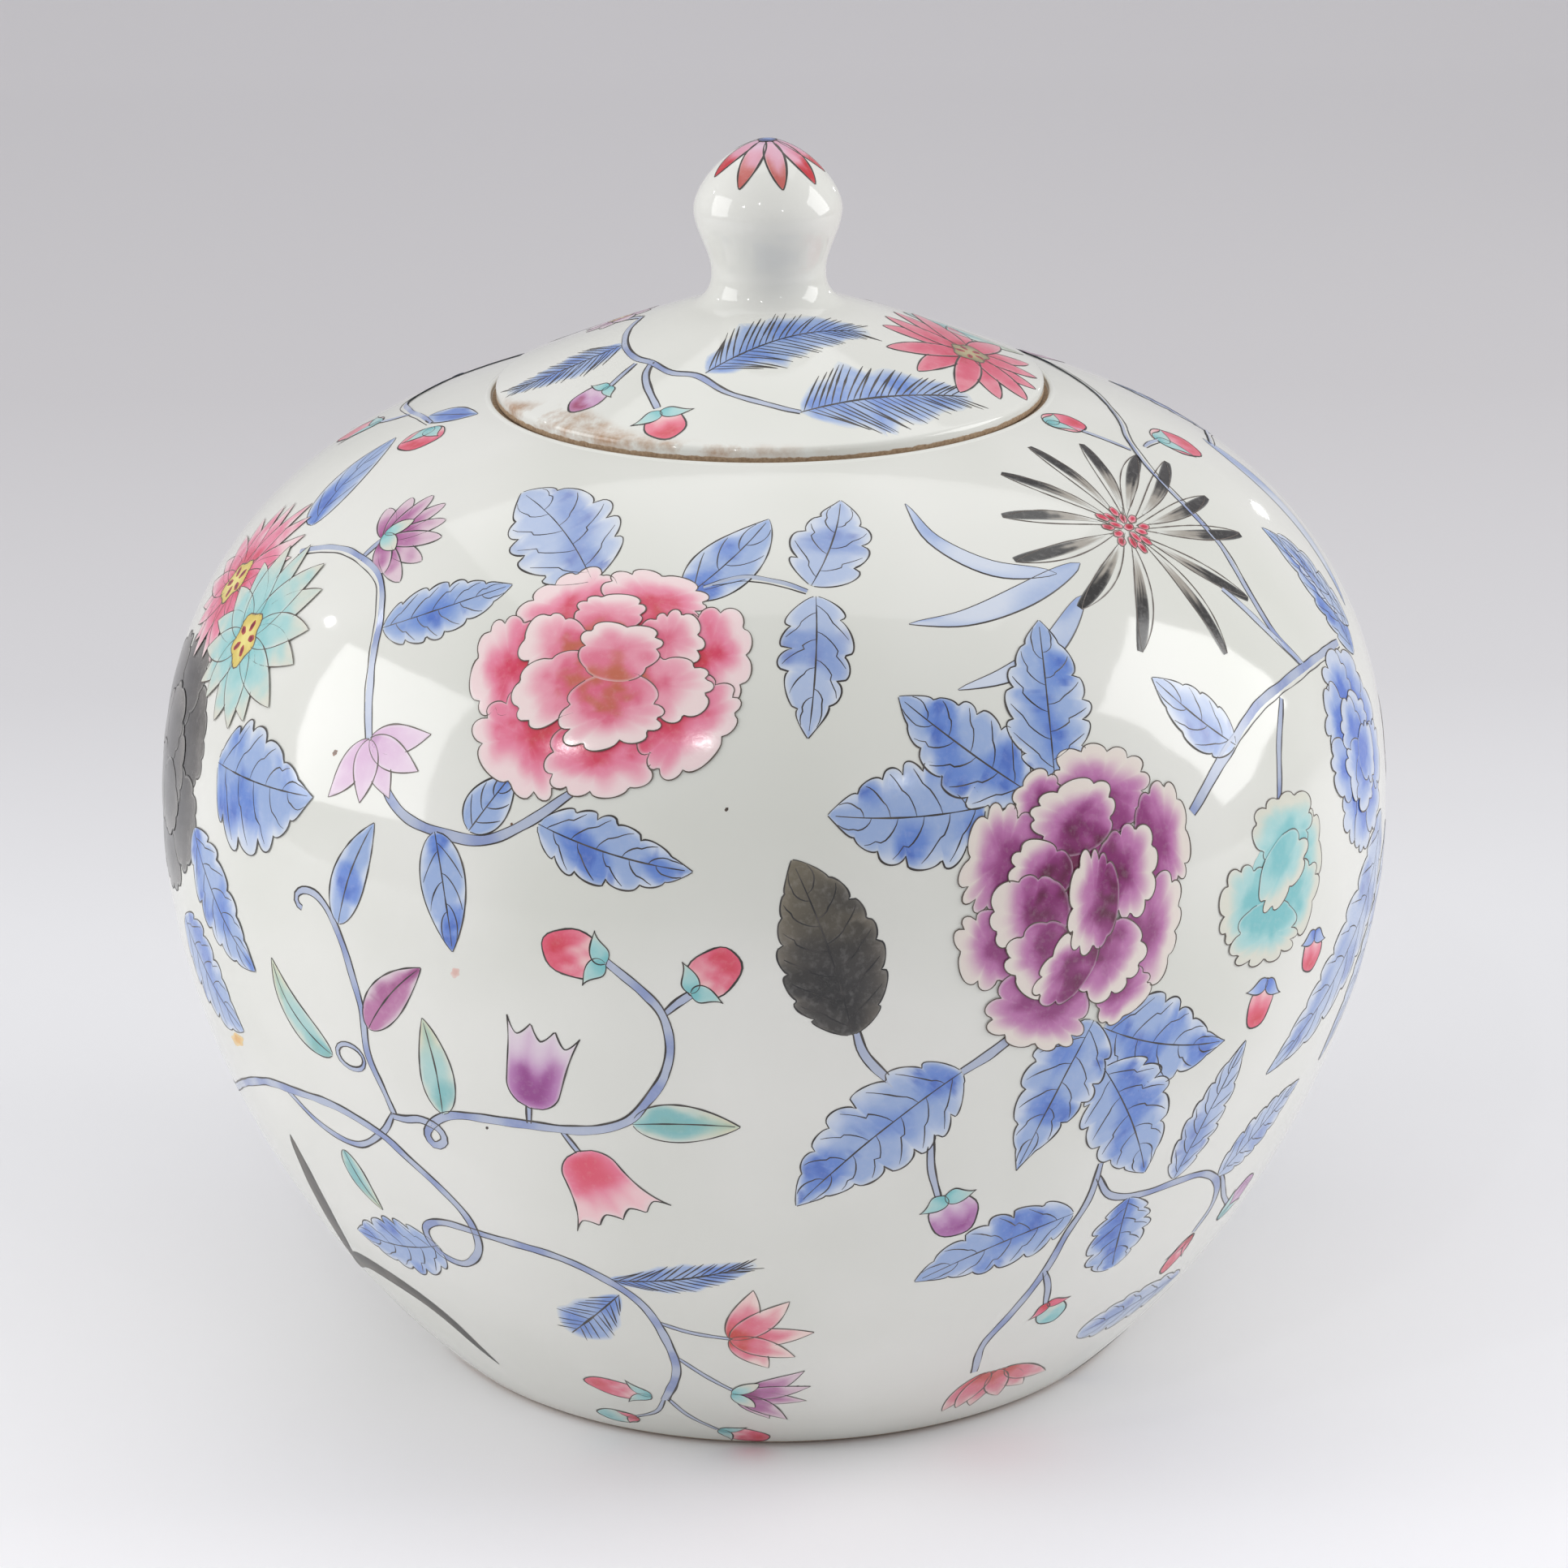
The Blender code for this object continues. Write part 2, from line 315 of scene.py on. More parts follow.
def leaf(base, tip, width, kind="blue", bend=0.0, lobes=5, depth=0.26, wide=0.42, stack=1, ink=0.30,
         tone="dark", seed=0, sides=(1.0, 1.0)):
    # midrib bowed by bend, half widths to both sides with teeth, side veins that curve towards the tip
    surface = easel["surface"]
    length, turn = aim(surface, base, tip)
    where = seat(base, turn, stack)
    width = width * mm
    part = np.linspace(0.003, 0.997, 12 * lobes + 13 if lobes else 35)
    across = np.array([-1, -0.9, -0.74, -0.52, -0.27, 0, 0.27, 0.52, 0.74, 0.9, 1])
    middle = midrib(length, bend, part)
    normal = sideways(middle)
    left = sides[0] * width / 2 * leafWidth(part, lobes, depth, wide, seed)
    right = sides[1] * width / 2 * leafWidth(part, lobes, depth, wide * 1.08, seed + 2)
    half = np.where(across < 0, left[:, None], right[:, None])
    flat = middle[:, None] + normal[:, None] * (half * across)[..., None]
    pale, mid, deep, shade = (hexToSrgb(c) for c in leafColours[kind])
    t, s = np.meshgrid(part, np.abs(across), indexing="ij")
    cloud = mottle(flat[..., 0], flat[..., 1], 17 * mm, seed + 3)
    fine = mottle(flat[..., 0], flat[..., 1], 5 * mm, seed + 4)
    colour = blend(pale, mid, smooth(1.0, 0.35, s + 0.3 * cloud + 0.12 * fine))
    pools = smooth(0.1, 1.0, 0.9 * cloud + 0.8 * (1 - s) - 0.8 * np.abs(t - 0.35))
    colour = blend(colour, deep, 0.9 * pools)
    darkest = smooth(0.55, 1.0, 0.55 * cloud + 0.5 * fine + 0.4 * (1 - s) - 0.3 * t)
    colour = blend(colour, shade, 0.55 * darkest)
    if kind == "teal":
        colour = blend(colour, hexToSrgb("#d9cfa8"), 0.6 * smooth(0.5, 1.0, t))
    if kind == "charcoal":
        colour = blend(colour, hexToSrgb("#857c68"), 0.75 * smooth(0.35, 0.95, t + 0.1 * cloud))
    inside = smooth(1.0, 0.84, s) * smooth(0.0, 0.03, t) * smooth(1.0, 0.97, t)
    rim = 0.8 if kind == "charcoal" else 0.4
    wash(where, flat, blend(glazeTint, colour, rim + (1 - rim) * inside), inside)
    inkLine(where, flat[:, 0], ink, tone, 0.5, seed)
    inkLine(where, flat[:, -1], ink * 0.85, tone, 0.5, seed + 1)
    inkLine(where, midrib(length, bend, np.linspace(0.0, 0.95, 26)), ink * 0.95, tone, 0.3, seed)
    ribs = lobes or (4 if kind in ("blue", "paleBlue") and width > 7.8 * mm else 0)
    for i in range(1, ribs):
        for side, halfWidth in ((-1, left), (1, right)):
            start = (i - 0.5 + 0.14 * side) / ribs
            sweep = np.linspace(0, 1, 9)
            at = start + (min((i + 0.6) / ribs, 0.95) - start) * sweep ** 1.35
            out = np.interp(at, part, halfWidth) * sweep ** 0.85 * 0.88
            slope = np.stack([np.interp(at, part, normal[:, k]) for k in (0, 1)], 1)
            inkLine(where, midrib(length, bend, at) + slope * (side * out)[:, None], ink * 0.8, tone, 0.2, i)


petalColours = dict(
    pink=("#eed6d6", "#e4829d", "#cf3a58", "#b9402f"),
    pinkPale=("#eed9d7", "#e69bad", "#d65f7c", "#b8643f"),
    purple=("#e2d8cf", "#b873a7", "#802a69", "#5a173c"),
    plum=("#d9c2cc", "#ab6497", "#86306a", "#66204c"),
    mauve=("#dccbd8", "#c8a0c3", "#a973a6", "#935891"),
    violet=("#dccdd8", "#b882b4", "#8f3f86", "#6d2c68"),
    mauveDark=("#dcc8d6", "#c596bd", "#8f2d4e", "#8f2d4e"),
    rose=("#eec8ca", "#e57a95", "#da5068", "#b3301f"),
    teal=("#d6d6c8", "#a4cfce", "#74bbbf", "#5fa9ae"),
    black=("#6b6864", "#444240", "#2a2929", "#1d1c1c"),
    blue=("#c6d0e2", "#93a9da", "#5577cc", "#4260b8"),
    red=("#ecc6c4", "#e0657f", "#cb3042", "#b3301f"),
    crimson=("#e08a98", "#d4546f", "#b5263c", "#8f1f2c"),
    lily=("#edd3cc", "#de7186", "#c23b34", "#b3301f"),
    tipRed=("#c3323b", "#dd9aaf", "#d6b0c5", "#b3301f"),
    tipRust=("#c2655f", "#d99db0", "#d6b4c7", "#b3301f"),
)


def petal(base, tip, width, kind="pink", bend=0.0, wide=0.5, stack=0, ink=0.24, tone="dark", seed=0,
          tint=(0.35, 0.8), pointed=0.8):
    # a smooth petal, pointed at its tip, deep at its base and pale at its tip; tint is where the changes end
    surface = easel["surface"]
    length, turn = aim(surface, base, tip)
    where = seat(base, turn, stack)
    part = np.linspace(0.003, 0.997, 23)
    across = np.array([-1, -0.75, -0.35, 0, 0.35, 0.75, 1])
    middle = midrib(length, bend, part)
    half = width * mm / 2 * (part / wide) ** 0.7 * ((1 - part) / (1 - wide)) ** (pointed * (1 - wide) / wide)
    flat = middle[:, None] + sideways(middle)[:, None] * (half[:, None] * across)[..., None]
    pale, mid, deep, _ = (hexToSrgb(c) for c in petalColours[kind])
    t, s = np.meshgrid(part, np.abs(across), indexing="ij")
    cloud = 0.12 * mottle(flat[..., 0], flat[..., 1], 6 * mm, seed + 2)
    colour = blend(deep, mid, smooth(0, tint[0], t + cloud))
    colour = blend(colour, pale, smooth(tint[0], tint[1], t + cloud + 0.12 * s))
    inside = smooth(1.0, 0.75, s) * smooth(0.0, 0.04, t) * smooth(1.0, 0.96, t)
    wash(where, flat, blend(glazeTint, colour, 0.5 + 0.5 * inside), inside)
    inkLine(where, flat[:, 0], ink, tone, 0.45, seed)
    inkLine(where, flat[:, -1], ink * 0.8, tone, 0.45, seed + 1)


def ruffle(origin, turn, centre, angle, halfLong, halfWide, kind, lobes=8, stack=0, ink=0.21, tone="umber",
           seed=0, scallop=0.2, strength=1.0, glow=0.0):
    # a peony petal: a fan whose outer edge is scalloped, pale at the rim and deep towards its base
    where = seat(origin, turn, stack)
    lobes = round(lobes * 1.4)
    theta = np.linspace(-np.pi, np.pi, 10 * lobes, endpoint=False)
    rng = np.random.default_rng(seed + 17)
    drift = 1.3 * np.sin(theta * 2 + rng.uniform(0, 6.28)) + 1.1 * np.sin(theta * 3 + rng.uniform(0, 6.28))
    within = ((lobes * theta + drift) / 6.2832 % 1.0) * 2 - 1
    bumps = (1 - np.sqrt(1 - 0.94 * within ** 2)) / 0.755
    outer = smooth(-0.9, -0.3, np.cos(theta))
    rim = 1 - scallop * bumps * outer * rng.uniform(0.8, 1.15) + 0.06 * np.sin(theta + rng.uniform(0, 6.28))
    ring = np.array([0.12, 0.28, 0.44, 0.58, 0.71, 0.82, 0.92, 1.0])[:, None]
    square = (np.abs(np.cos(theta)) ** 2.4 + np.abs(np.sin(theta)) ** 2.4) ** (-1 / 2.4)
    u = ring * rim * square * np.cos(theta)
    v = ring * rim * square * np.sin(theta) * (1 + 0.16 * np.cos(theta))
    c, s = math.cos(math.radians(angle)), math.sin(math.radians(angle))
    x = centre[0] * mm + (u * halfLong * c - v * halfWide * s) * mm
    y = centre[1] * mm + (u * halfLong * s + v * halfWide * c) * mm
    flat = np.stack([x, y], -1)
    pale, mid, deep, core = (hexToSrgb(k) for k in petalColours[kind])
    toBase = np.clip((1 - u) / 2, 0, 1)
    depth = 0.55 * (1 - ring) ** 0.8 + 0.95 * toBase ** 1.3 + 0.09 * mottle(x, y, 9 * mm, seed)
    colour = blend(pale, mid, smooth(0.2, 0.64, depth))
    colour = blend(colour, deep, strength * smooth(0.6, 0.96, depth + 0.08 * mottle(x, y, 5 * mm, seed + 1)))
    if glow:
        colour = blend(colour, core, glow * smooth(0.86, 1.12, depth + 0.1 * mottle(x, y, 4 * mm, seed + 2)))
    inside = np.broadcast_to(smooth(1.0, 0.92, ring), x.shape)
    wash(where, flat, blend(glazeTint, colour, 0.5 + 0.5 * inside), inside, around=True)
    shown = np.where(np.cos(theta) > -0.9)[0]
    inkLine(where, flat[-1, shown], ink, tone, 0.5, seed)


def dab(origin, turn, centre, angle, halfLong, halfWide, colours, stack=0, ink=0.3, tone="dark", seed=0,
        rag=0.05, outline=True):
    # a small blob of paint with a slightly uneven edge; two colours run from the edge to the middle,
    # three run along it from its base to its tip
    where = seat(origin, turn, stack)
    theta = np.linspace(-np.pi, np.pi, 28, endpoint=False)
    ring = np.array([0.18, 0.4, 0.65, 0.86, 1.0])[:, None]
    rim = 1 + rag * np.sin(2 * theta + seed) + rag * np.sin(5 * theta + 2 * seed)
    u, v = ring * rim * np.cos(theta) * halfLong, ring * rim * np.sin(theta) * halfWide
    c, s = math.cos(math.radians(angle)), math.sin(math.radians(angle))
    flat = np.stack([(centre[0] + u * c - v * s) * mm, (centre[1] + u * s + v * c) * mm], -1)
    first, second, *third = (hexToSrgb(k) for k in colours)
    cloud = mottle(u * mm, v * mm, 4 * mm, seed)
    inside = np.broadcast_to(smooth(1.0, 0.86, ring), cloud.shape)
    if third:
        run = u / halfLong + 0.22 * cloud
        colour = blend(first, second, smooth(-0.75, 0.35, run))
        colour = blend(colour, third[0], 0.9 * smooth(0.0, 0.85, run) * smooth(1.1, 0.55, ring))
    else:
        colour = blend(first, second, smooth(0.95, 0.25, ring + 0.15 * cloud - 0.1 * u / halfLong))
    wash(where, flat, colour, inside, around=True)
    if outline:
        inkLine(where, np.concatenate([flat[-1], flat[-1, :2]]), ink, tone, 0.6, seed)


def feather(base, tip, width, bend=0.0, strokes=17, stack=0, seed=0, wide=0.5, past=1.12, fade=0.75, ink=0.3):
    # a soft wash on both sides of a midrib, with comb strokes of ink that run past its edge
    surface = easel["surface"]
    length, turn = aim(surface, base, tip)
    where = seat(base, turn, stack)
    part = np.linspace(0, 1, 30)
    across = np.linspace(-1, 1, 9)
    middle = midrib(length, bend, part)
    normal = sideways(middle)
    rag = 1 + 0.12 * mottle(part * length, part * 0, 5 * mm, seed)
    opening = np.minimum(1, (part / wide) ** 0.6)
    closing = np.minimum(1, ((1.02 - part) / (1 - wide)) ** 0.55)
    half = width * mm / 2 * opening * closing * rag
    flat = middle[:, None] + normal[:, None] * (half[:, None] * across)[..., None]
    t, s = np.meshgrid(part, np.abs(across), indexing="ij")
    pale, mid, deep, _ = (hexToSrgb(c) for c in leafColours["blue"])
    cloud = mottle(flat[..., 0], flat[..., 1], 9 * mm, seed + 1)
    colour = blend(mid, deep, 0.75 * smooth(-0.3, 0.8, cloud + 0.5 - s))
    colour = blend(colour, pale, 0.85 * smooth(0.72, 1.0, s + 0.12 * cloud))
    colour = blend(colour, glazeTint, fade * smooth(0.7, 1.0, t))
    inside = smooth(1.0, 0.7, s) * smooth(1.0, 0.9, t) * smooth(0.0, 0.06, t)
    wash(where, flat, blend(glazeTint, colour, 0.15 + 0.85 * inside), inside)
    inkLine(where, midrib(length, bend, np.linspace(0, 0.98, 22)), ink * 1.4, "dark", 0.3, seed)
    rng = np.random.default_rng(seed + 5)
    sweep = np.linspace(0, 1, 8)
    for i in range(strokes):
        for side in (-1, 1):
            start = 0.03 + 0.9 * (i + 0.25 * side + rng.uniform(-0.12, 0.12)) / strokes
            at = start + (0.15 + 0.08 * (1 - start)) * rng.uniform(0.85, 1.1) * sweep
            edge = np.interp(min(at[-1], 0.93), part, half / rag)
            out = edge * sweep ** 0.95 * past * rng.uniform(0.88, 1.06)
            slope = np.stack([np.interp(at, part, normal[:, k]) for k in (0, 1)], 1)
            inkLine(where, midrib(length, bend, at) + slope * (side * out)[:, None], ink, "dark", 0.1, i)


def smoothLine(points, surface, step):
    # Catmull-Rom through (lon, lat) points as directions, resampled at an even step
    knots = direction(*np.array(points, float).T)
    ends = np.concatenate([[2 * knots[0] - knots[1]], knots, [2 * knots[-1] - knots[-2]]])
    part = np.linspace(0, 1, 25)[:-1, None]
    runs = [0.5 * (2 * b + (c - a) * part + (2 * a - 5 * b + 4 * c - d) * part ** 2
                   + (3 * b - a - 3 * c + d) * part ** 3)
            for a, b, c, d in zip(ends[:-3], ends[1:-2], ends[2:-1], ends[3:])]
    line = np.concatenate(runs + [knots[-1:]])
    line /= np.linalg.norm(line, axis=1)[:, None]
    far = np.concatenate([[0], np.cumsum(np.linalg.norm(np.diff(cast(surface, line, 0), axis=0), axis=1))])
    even = np.linspace(0, far[-1], max(int(far[-1] / step), 4) + 1)
    line = np.stack([np.interp(even, far, line[:, k]) for k in range(3)], 1)
    return line / np.linalg.norm(line, axis=1)[:, None]


def besides(surface, dirs, shift):  # the same line moved sideways by shift, one value per point
    centre = cast(surface, dirs, 0)
    side = np.cross(dirs, np.gradient(centre, axis=0))
    side /= np.linalg.norm(side, axis=1)[:, None]
    edge = centre + side * shift[:, None]
    edge[:, 2] -= surfaces[surface]["centre"]
    return edge / np.linalg.norm(edge, axis=1)[:, None]


def inkBeside(dirs, shift, width, lift, tone):  # a brush line that runs beside a line of directions
    surface = easel["surface"]
    edge = besides(surface, dirs, shift)
    ribbon("Ink", surface, edge, width, lift + brush["inkLift"], inkTones[tone], brush["inkSwell"])


def blade(points, width, stack=0, kind="paleBlue", outline="dark", seed=0, peak=0.75, ink=0.3):
    # a grass blade along a smooth line, pointed at both ends
    surface = easel["surface"]
    dirs = smoothLine(points, surface, 1.6 * mm)
    part = np.linspace(0, 1, len(dirs))
    lift = brush["baseLift"] + stack * brush["stackStep"]
    half = width * mm / 2 * np.sin(np.pi * part ** peak) ** 0.75 + 0.06 * mm
    across = np.linspace(-1, 1, 5)
    grid = np.stack([cast(surface, besides(surface, dirs, half * k), lift) for k in across], 1)
    pale, mid, deep, _ = (hexToSrgb(c) for c in leafColours[kind])
    t, s = np.meshgrid(part, across, indexing="ij")
    cloud = mottle(t * len(dirs) * mm, s * 2 * mm, 12 * mm, seed)
    colour = blend(pale, mid, smooth(-0.8, 0.6, cloud + s * 0.4))
    colour = blend(colour, deep, 0.6 * smooth(0.2, 1.0, cloud - s * 0.3))
    addGrid("Ink" if kind == "charcoal" else "Enamel", grid, toLinear(colour))
    if outline:
        for k, weight in ((-1, 0.75), (1, 1.0)):
            shape = ink * weight * mm * (0.4 + 0.6 * np.sin(np.pi * part) ** 0.5)
            inkBeside(dirs, half * k, shape, lift, outline)


stemColours = dict(blue=("#b0b9cd", "#8b99c2"), pale=("#bcc5d6", "#9fadd0"))


def stem(points, width=1.7, stack=0, kind="blue", heavy=1, ink=0.32, seed=0, ends=0.75):
    # a vine: a pale raised band with an ink line down each edge, the heavy side darker
    surface = easel["surface"]
    dirs = smoothLine(points, surface, 1.0 * mm)
    part = np.linspace(0, 1, len(dirs))
    run = part * len(dirs) * mm
    lift = brush["baseLift"] + stack * brush["stackStep"]
    wobble = 1 + 0.1 * mottle(run, run * 0, 9 * mm, seed)
    half = width * mm / 2 * (ends + (1 - ends) * np.sin(np.pi * part) ** 0.5) * wobble
    first, second = (hexToSrgb(c) for c in stemColours[kind])
    shade = smooth(-0.5, 0.8, mottle(run, run * 0, 14 * mm, seed + 1))
    ribbon("Enamel", surface, dirs, half * 2, lift, toLinear(blend(first, second, shade)), 0.01 * mm)
    for k in (-1, 1):
        uneven = 1 + 0.3 * mottle(run, run * 0 + k, 6 * mm, seed + 2)
        weight = ink * (1.0 if k == heavy else 0.65) * mm * uneven
        inkBeside(dirs, half * k, weight, lift, "dark")


def lonLat(dirs):
    return math.degrees(math.atan2(dirs[0], -dirs[1])), math.degrees(math.asin(dirs[2]))


def besidePoint(origin, x, y, turn=0.0):  # the (lon, lat) that lies x, y millimetres from an origin
    return lonLat(wrap(easel["surface"], origin, np.array([x, y]) * mm, turn))


def bud(base, tip, width, kind="pink", sepals="teal", stack=1, seed=0, spread=38, sepalLong=0.55):
    # a rounded bud: pale edge, deep heart, and sepals that clasp its base
    surface = easel["surface"]
    length, turn = aim(surface, base, tip)
    long = length / mm / 2
    dab(base, turn, (0, long), 90, long, width / 2, petalColours[kind][:3], stack, 0.3, "dark", seed, 0.03)
    for k in (-1, 1):
        far = 1.3 * sepalLong * 2 * long
        aside, ahead = k * far * math.sin(math.radians(spread)), far * math.cos(math.radians(spread))
        end = besidePoint(base, aside, ahead, turn)
        petal(base, end, width * 0.36, sepals, -0.2 * k, 0.42, stack + 1, 0.26, "dark", seed + k, (0.5, 1.1),
              pointed=1.2)


def trumpet(base, mouthLeft, mouthRight, kind="pink", points=4, seed=0, stack=1, narrow=0.5, teeth=0.2):
    # a bell: a rounded cup that flares to its mouth, which is cut into hollow arcs between points
    surface = easel["surface"]
    d0, d1 = direction(*mouthLeft), direction(*mouthRight)
    length, turn = aim(surface, base, lonLat((d0 + d1) / np.linalg.norm(d0 + d1)))
    width = float(np.arccos(np.clip(d0 @ d1, -1, 1))) * float(reach(surface, d0[None])[0])
    where = seat(base, turn, stack)
    part = np.linspace(0, 1, 25)
    across = np.linspace(-1, 1, 10 * points + 1)
    cup = np.sqrt(1 - (1 - np.minimum(part / 0.3, 1)) ** 2) * (1 + 0.12 * np.sin(np.pi * part))
    half = width / 2 * (narrow * cup + (1 - narrow) * part ** 3.6)
    notch = np.abs((across + 1) / 2 * (points - 1) % 1.0 * 2 - 1) ** 1.5
    rise = part[:, None] * (1 - teeth) + teeth * notch * part[:, None] ** 3
    flat = np.stack([half[:, None] * across, length * rise], -1)
    pale, mid, deep, _ = (hexToSrgb(c) for c in petalColours[kind])
    t, s = np.meshgrid(part, np.abs(across), indexing="ij")
    cloud = mottle(flat[..., 0], flat[..., 1], 8 * mm, seed)
    colour = blend(mid, deep, smooth(0.8, 0.25, t + 0.25 * cloud) * smooth(1.0, 0.25, s) * smooth(0, 0.16, t))
    colour = blend(colour, pale, smooth(0.5, 1.05, t + 0.1 * cloud + 0.14 * s))
    inside = smooth(1.0, 0.85, s) * smooth(1.0, 0.93, t) * smooth(0.0, 0.06, t)
    wash(where, flat, blend(glazeTint, colour, 0.5 + 0.5 * inside), inside)
    for side in (flat[:, 0], flat[:, -1], flat[-1]):
        inkLine(where, side, 0.28, "dark", 0.6, seed)


def daisy(origin, far, count, width, kind, heart=5.0, stack=0, seed=0, ink=0.22, tint=(0.35, 0.8), squash=1.0,
          skew=0.0, pointed=1.25):
    # count slender pointed petals about far millimetres long, longer towards skew radians, and a seeded eye
    rng = np.random.default_rng(seed)
    for i in range(count):
        a = 6.283 * (i + rng.uniform(-0.18, 0.18)) / count
        long = far * (1 + 0.14 * math.cos(a - skew) + rng.uniform(-0.09, 0.06))
        end = besidePoint(origin, long * math.cos(a), long * math.sin(a))
        petal(origin, end, width * rng.uniform(0.85, 1.15), kind, rng.uniform(-0.1, 0.1), 0.55,
              stack + i % 2, ink, "umber", seed + i, tint, pointed=pointed)
    eye(origin, heart, stack + 2, seed, squash)


def eye(origin, size, stack, seed=0, squash=1.0, lobes=5, yolk=("#d6bf62", "#e9dc86")):
    # a scalloped centre with dark red seeds
    dab(origin, 0.0, (0, 0), 90 * seed, size / 2, size / 2 * squash, yolk, stack, 0.3, "brown", seed, 0.11)
    for i in range(lobes):
        a = 6.283 * (i + 0.3 * seed) / lobes
        dab(origin, 0.0, (0.27 * size * math.cos(a), 0.27 * size * math.sin(a) * squash), math.degrees(a),
            size * 0.13, size * 0.08, ("#b04a3c", "#7a1430"), stack + 1, seed=i, outline=False)


wreathGaps = {3: 2.0944, 5: 1.2566, 6: 1.0472, 7: 0.8976, 9: 0.698}  # radians between the petals of a ring


def ruffles(centre, petals, kind, stack, seed, **looks):
    # ruffled petals from rows of (place, angle, half length, half width, lobes), each a layer higher
    for i, (at, angle, long, wide, lobes) in enumerate(petals):
        ruffle(centre, 0, at, angle, long, wide, kind, lobes, stack + i, seed=seed + i, **looks)


def wreath(centre, count, first, out, long, wide, kind, lobes, stack, seed, layers=None, **looks):
    # count ruffled petals in a ring about a centre, the first one at an angle of first radians
    for i, layer in enumerate(layers or range(count)):
        a = first + i * wreathGaps[count]
        at = (out[0] * math.cos(a), out[1] * math.sin(a))
        ruffle(centre, 0, at, math.degrees(a), long, wide, kind, lobes, stack + layer, seed=seed + i, **looks)


def fan(base, tips, width, kind, bends, wide, ink, tone, tint, pointed, layers=2):
    # petals from one base to several tips; bends is one value or one per petal
    for i, (tip, bend) in enumerate(zip(tips, np.broadcast_to(bends, len(tips)))):
        petal(base, tip, width, kind, bend, wide, 1 + i % layers, ink, tone, i, tint, pointed=pointed)


def ringOf(centre, far, gap):  # the points of a circle about a centre, far in millimetres, gap in radians
    return [besidePoint(centre, far * math.cos(a), far * math.sin(a)) for a in np.arange(0, 6.2, gap)]


def pinkPeony():
    startPlant("pinkPeony")
    centre = (-16.2, 30.2)
    outer = [((-11, 12), 128, 7.2, 9.2, 8), ((4.2, 14.8), 82, 6.2, 9.8, 8), ((15.8, 5), 10, 7.4, 9.2, 8),
             ((-18.4, 0.4), 183, 7.6, 9.2, 7), ((-12.8, -11.6), 238, 8.6, 10, 7),
             ((0.6, -13.9), 273, 7.2, 9.4, 8), ((13.2, -7), 328, 7.6, 9.4, 8)]
    middle = [((-3.2, 11.6), 95, 4.3, 6.4, 6), ((8.4, 7.4), 25, 6.4, 5.8, 7), ((-11, 5.2), 170, 6.8, 5.2, 6),
              ((9.0, -1.2), -14, 8.4, 5.6, 7), ((-9.2, -2.6), 208, 8.6, 6.2, 6),
              ((1.2, -6.4), 284, 6.6, 9.0, 7)]
    ruffles(centre, outer, "pink", 2, 0, glow=0.4)
    dab(centre, 0, (-0.5, -1), 0, 8, 5.5, ("#c9705c", "#b35c44"), 9, outline=False)
    ruffles(centre, middle, "pinkPale", 10, 20, strength=0.9, glow=0.8)
    ruffle(centre, 0, (0.2, 4.9), 88, 5.6, 7.4, "pinkPale", 6, 16, seed=31, strength=0.6, glow=0.8)
    stem([(-18, 20), (-22, 17), (-26, 15), (-30.5, 15), (-34, 15.6), (-36.4, 17), (-37.6, 18.6)], 1.7, 0,
         heavy=-1)
    leaf((-21.6, 39.4), (-41, 49), 18, "paleBlue", bend=0.1, lobes=5, wide=0.46, seed=1, depth=0.32)
    leaf((-10, 38.4), (0, 48.5), 11, bend=0.1, lobes=0, seed=2)
    leaf((-21, 17), (-7, 14), 11, bend=0.08, lobes=6, seed=3)
    leaf((-27.6, 15.6), (-24, 21), 8, lobes=0, kind="blue", seed=4)
    leaf((-31, 15), (-28.5, 5), 9, lobes=0, bend=-0.05, seed=5)
    stem([(-8, 39.4), (-3.5, 40.6), (1, 40), (4, 39)], 1.2, kind="pale")
    leaf((4.6, 39.7), (11, 51), 12.6, "paleBlue", bend=0.1, lobes=4, depth=0.36, seed=6)
    leaf((5, 38.5), (3.2, 25.4), 11, "paleBlue", bend=-0.04, lobes=5, depth=0.36, seed=7)


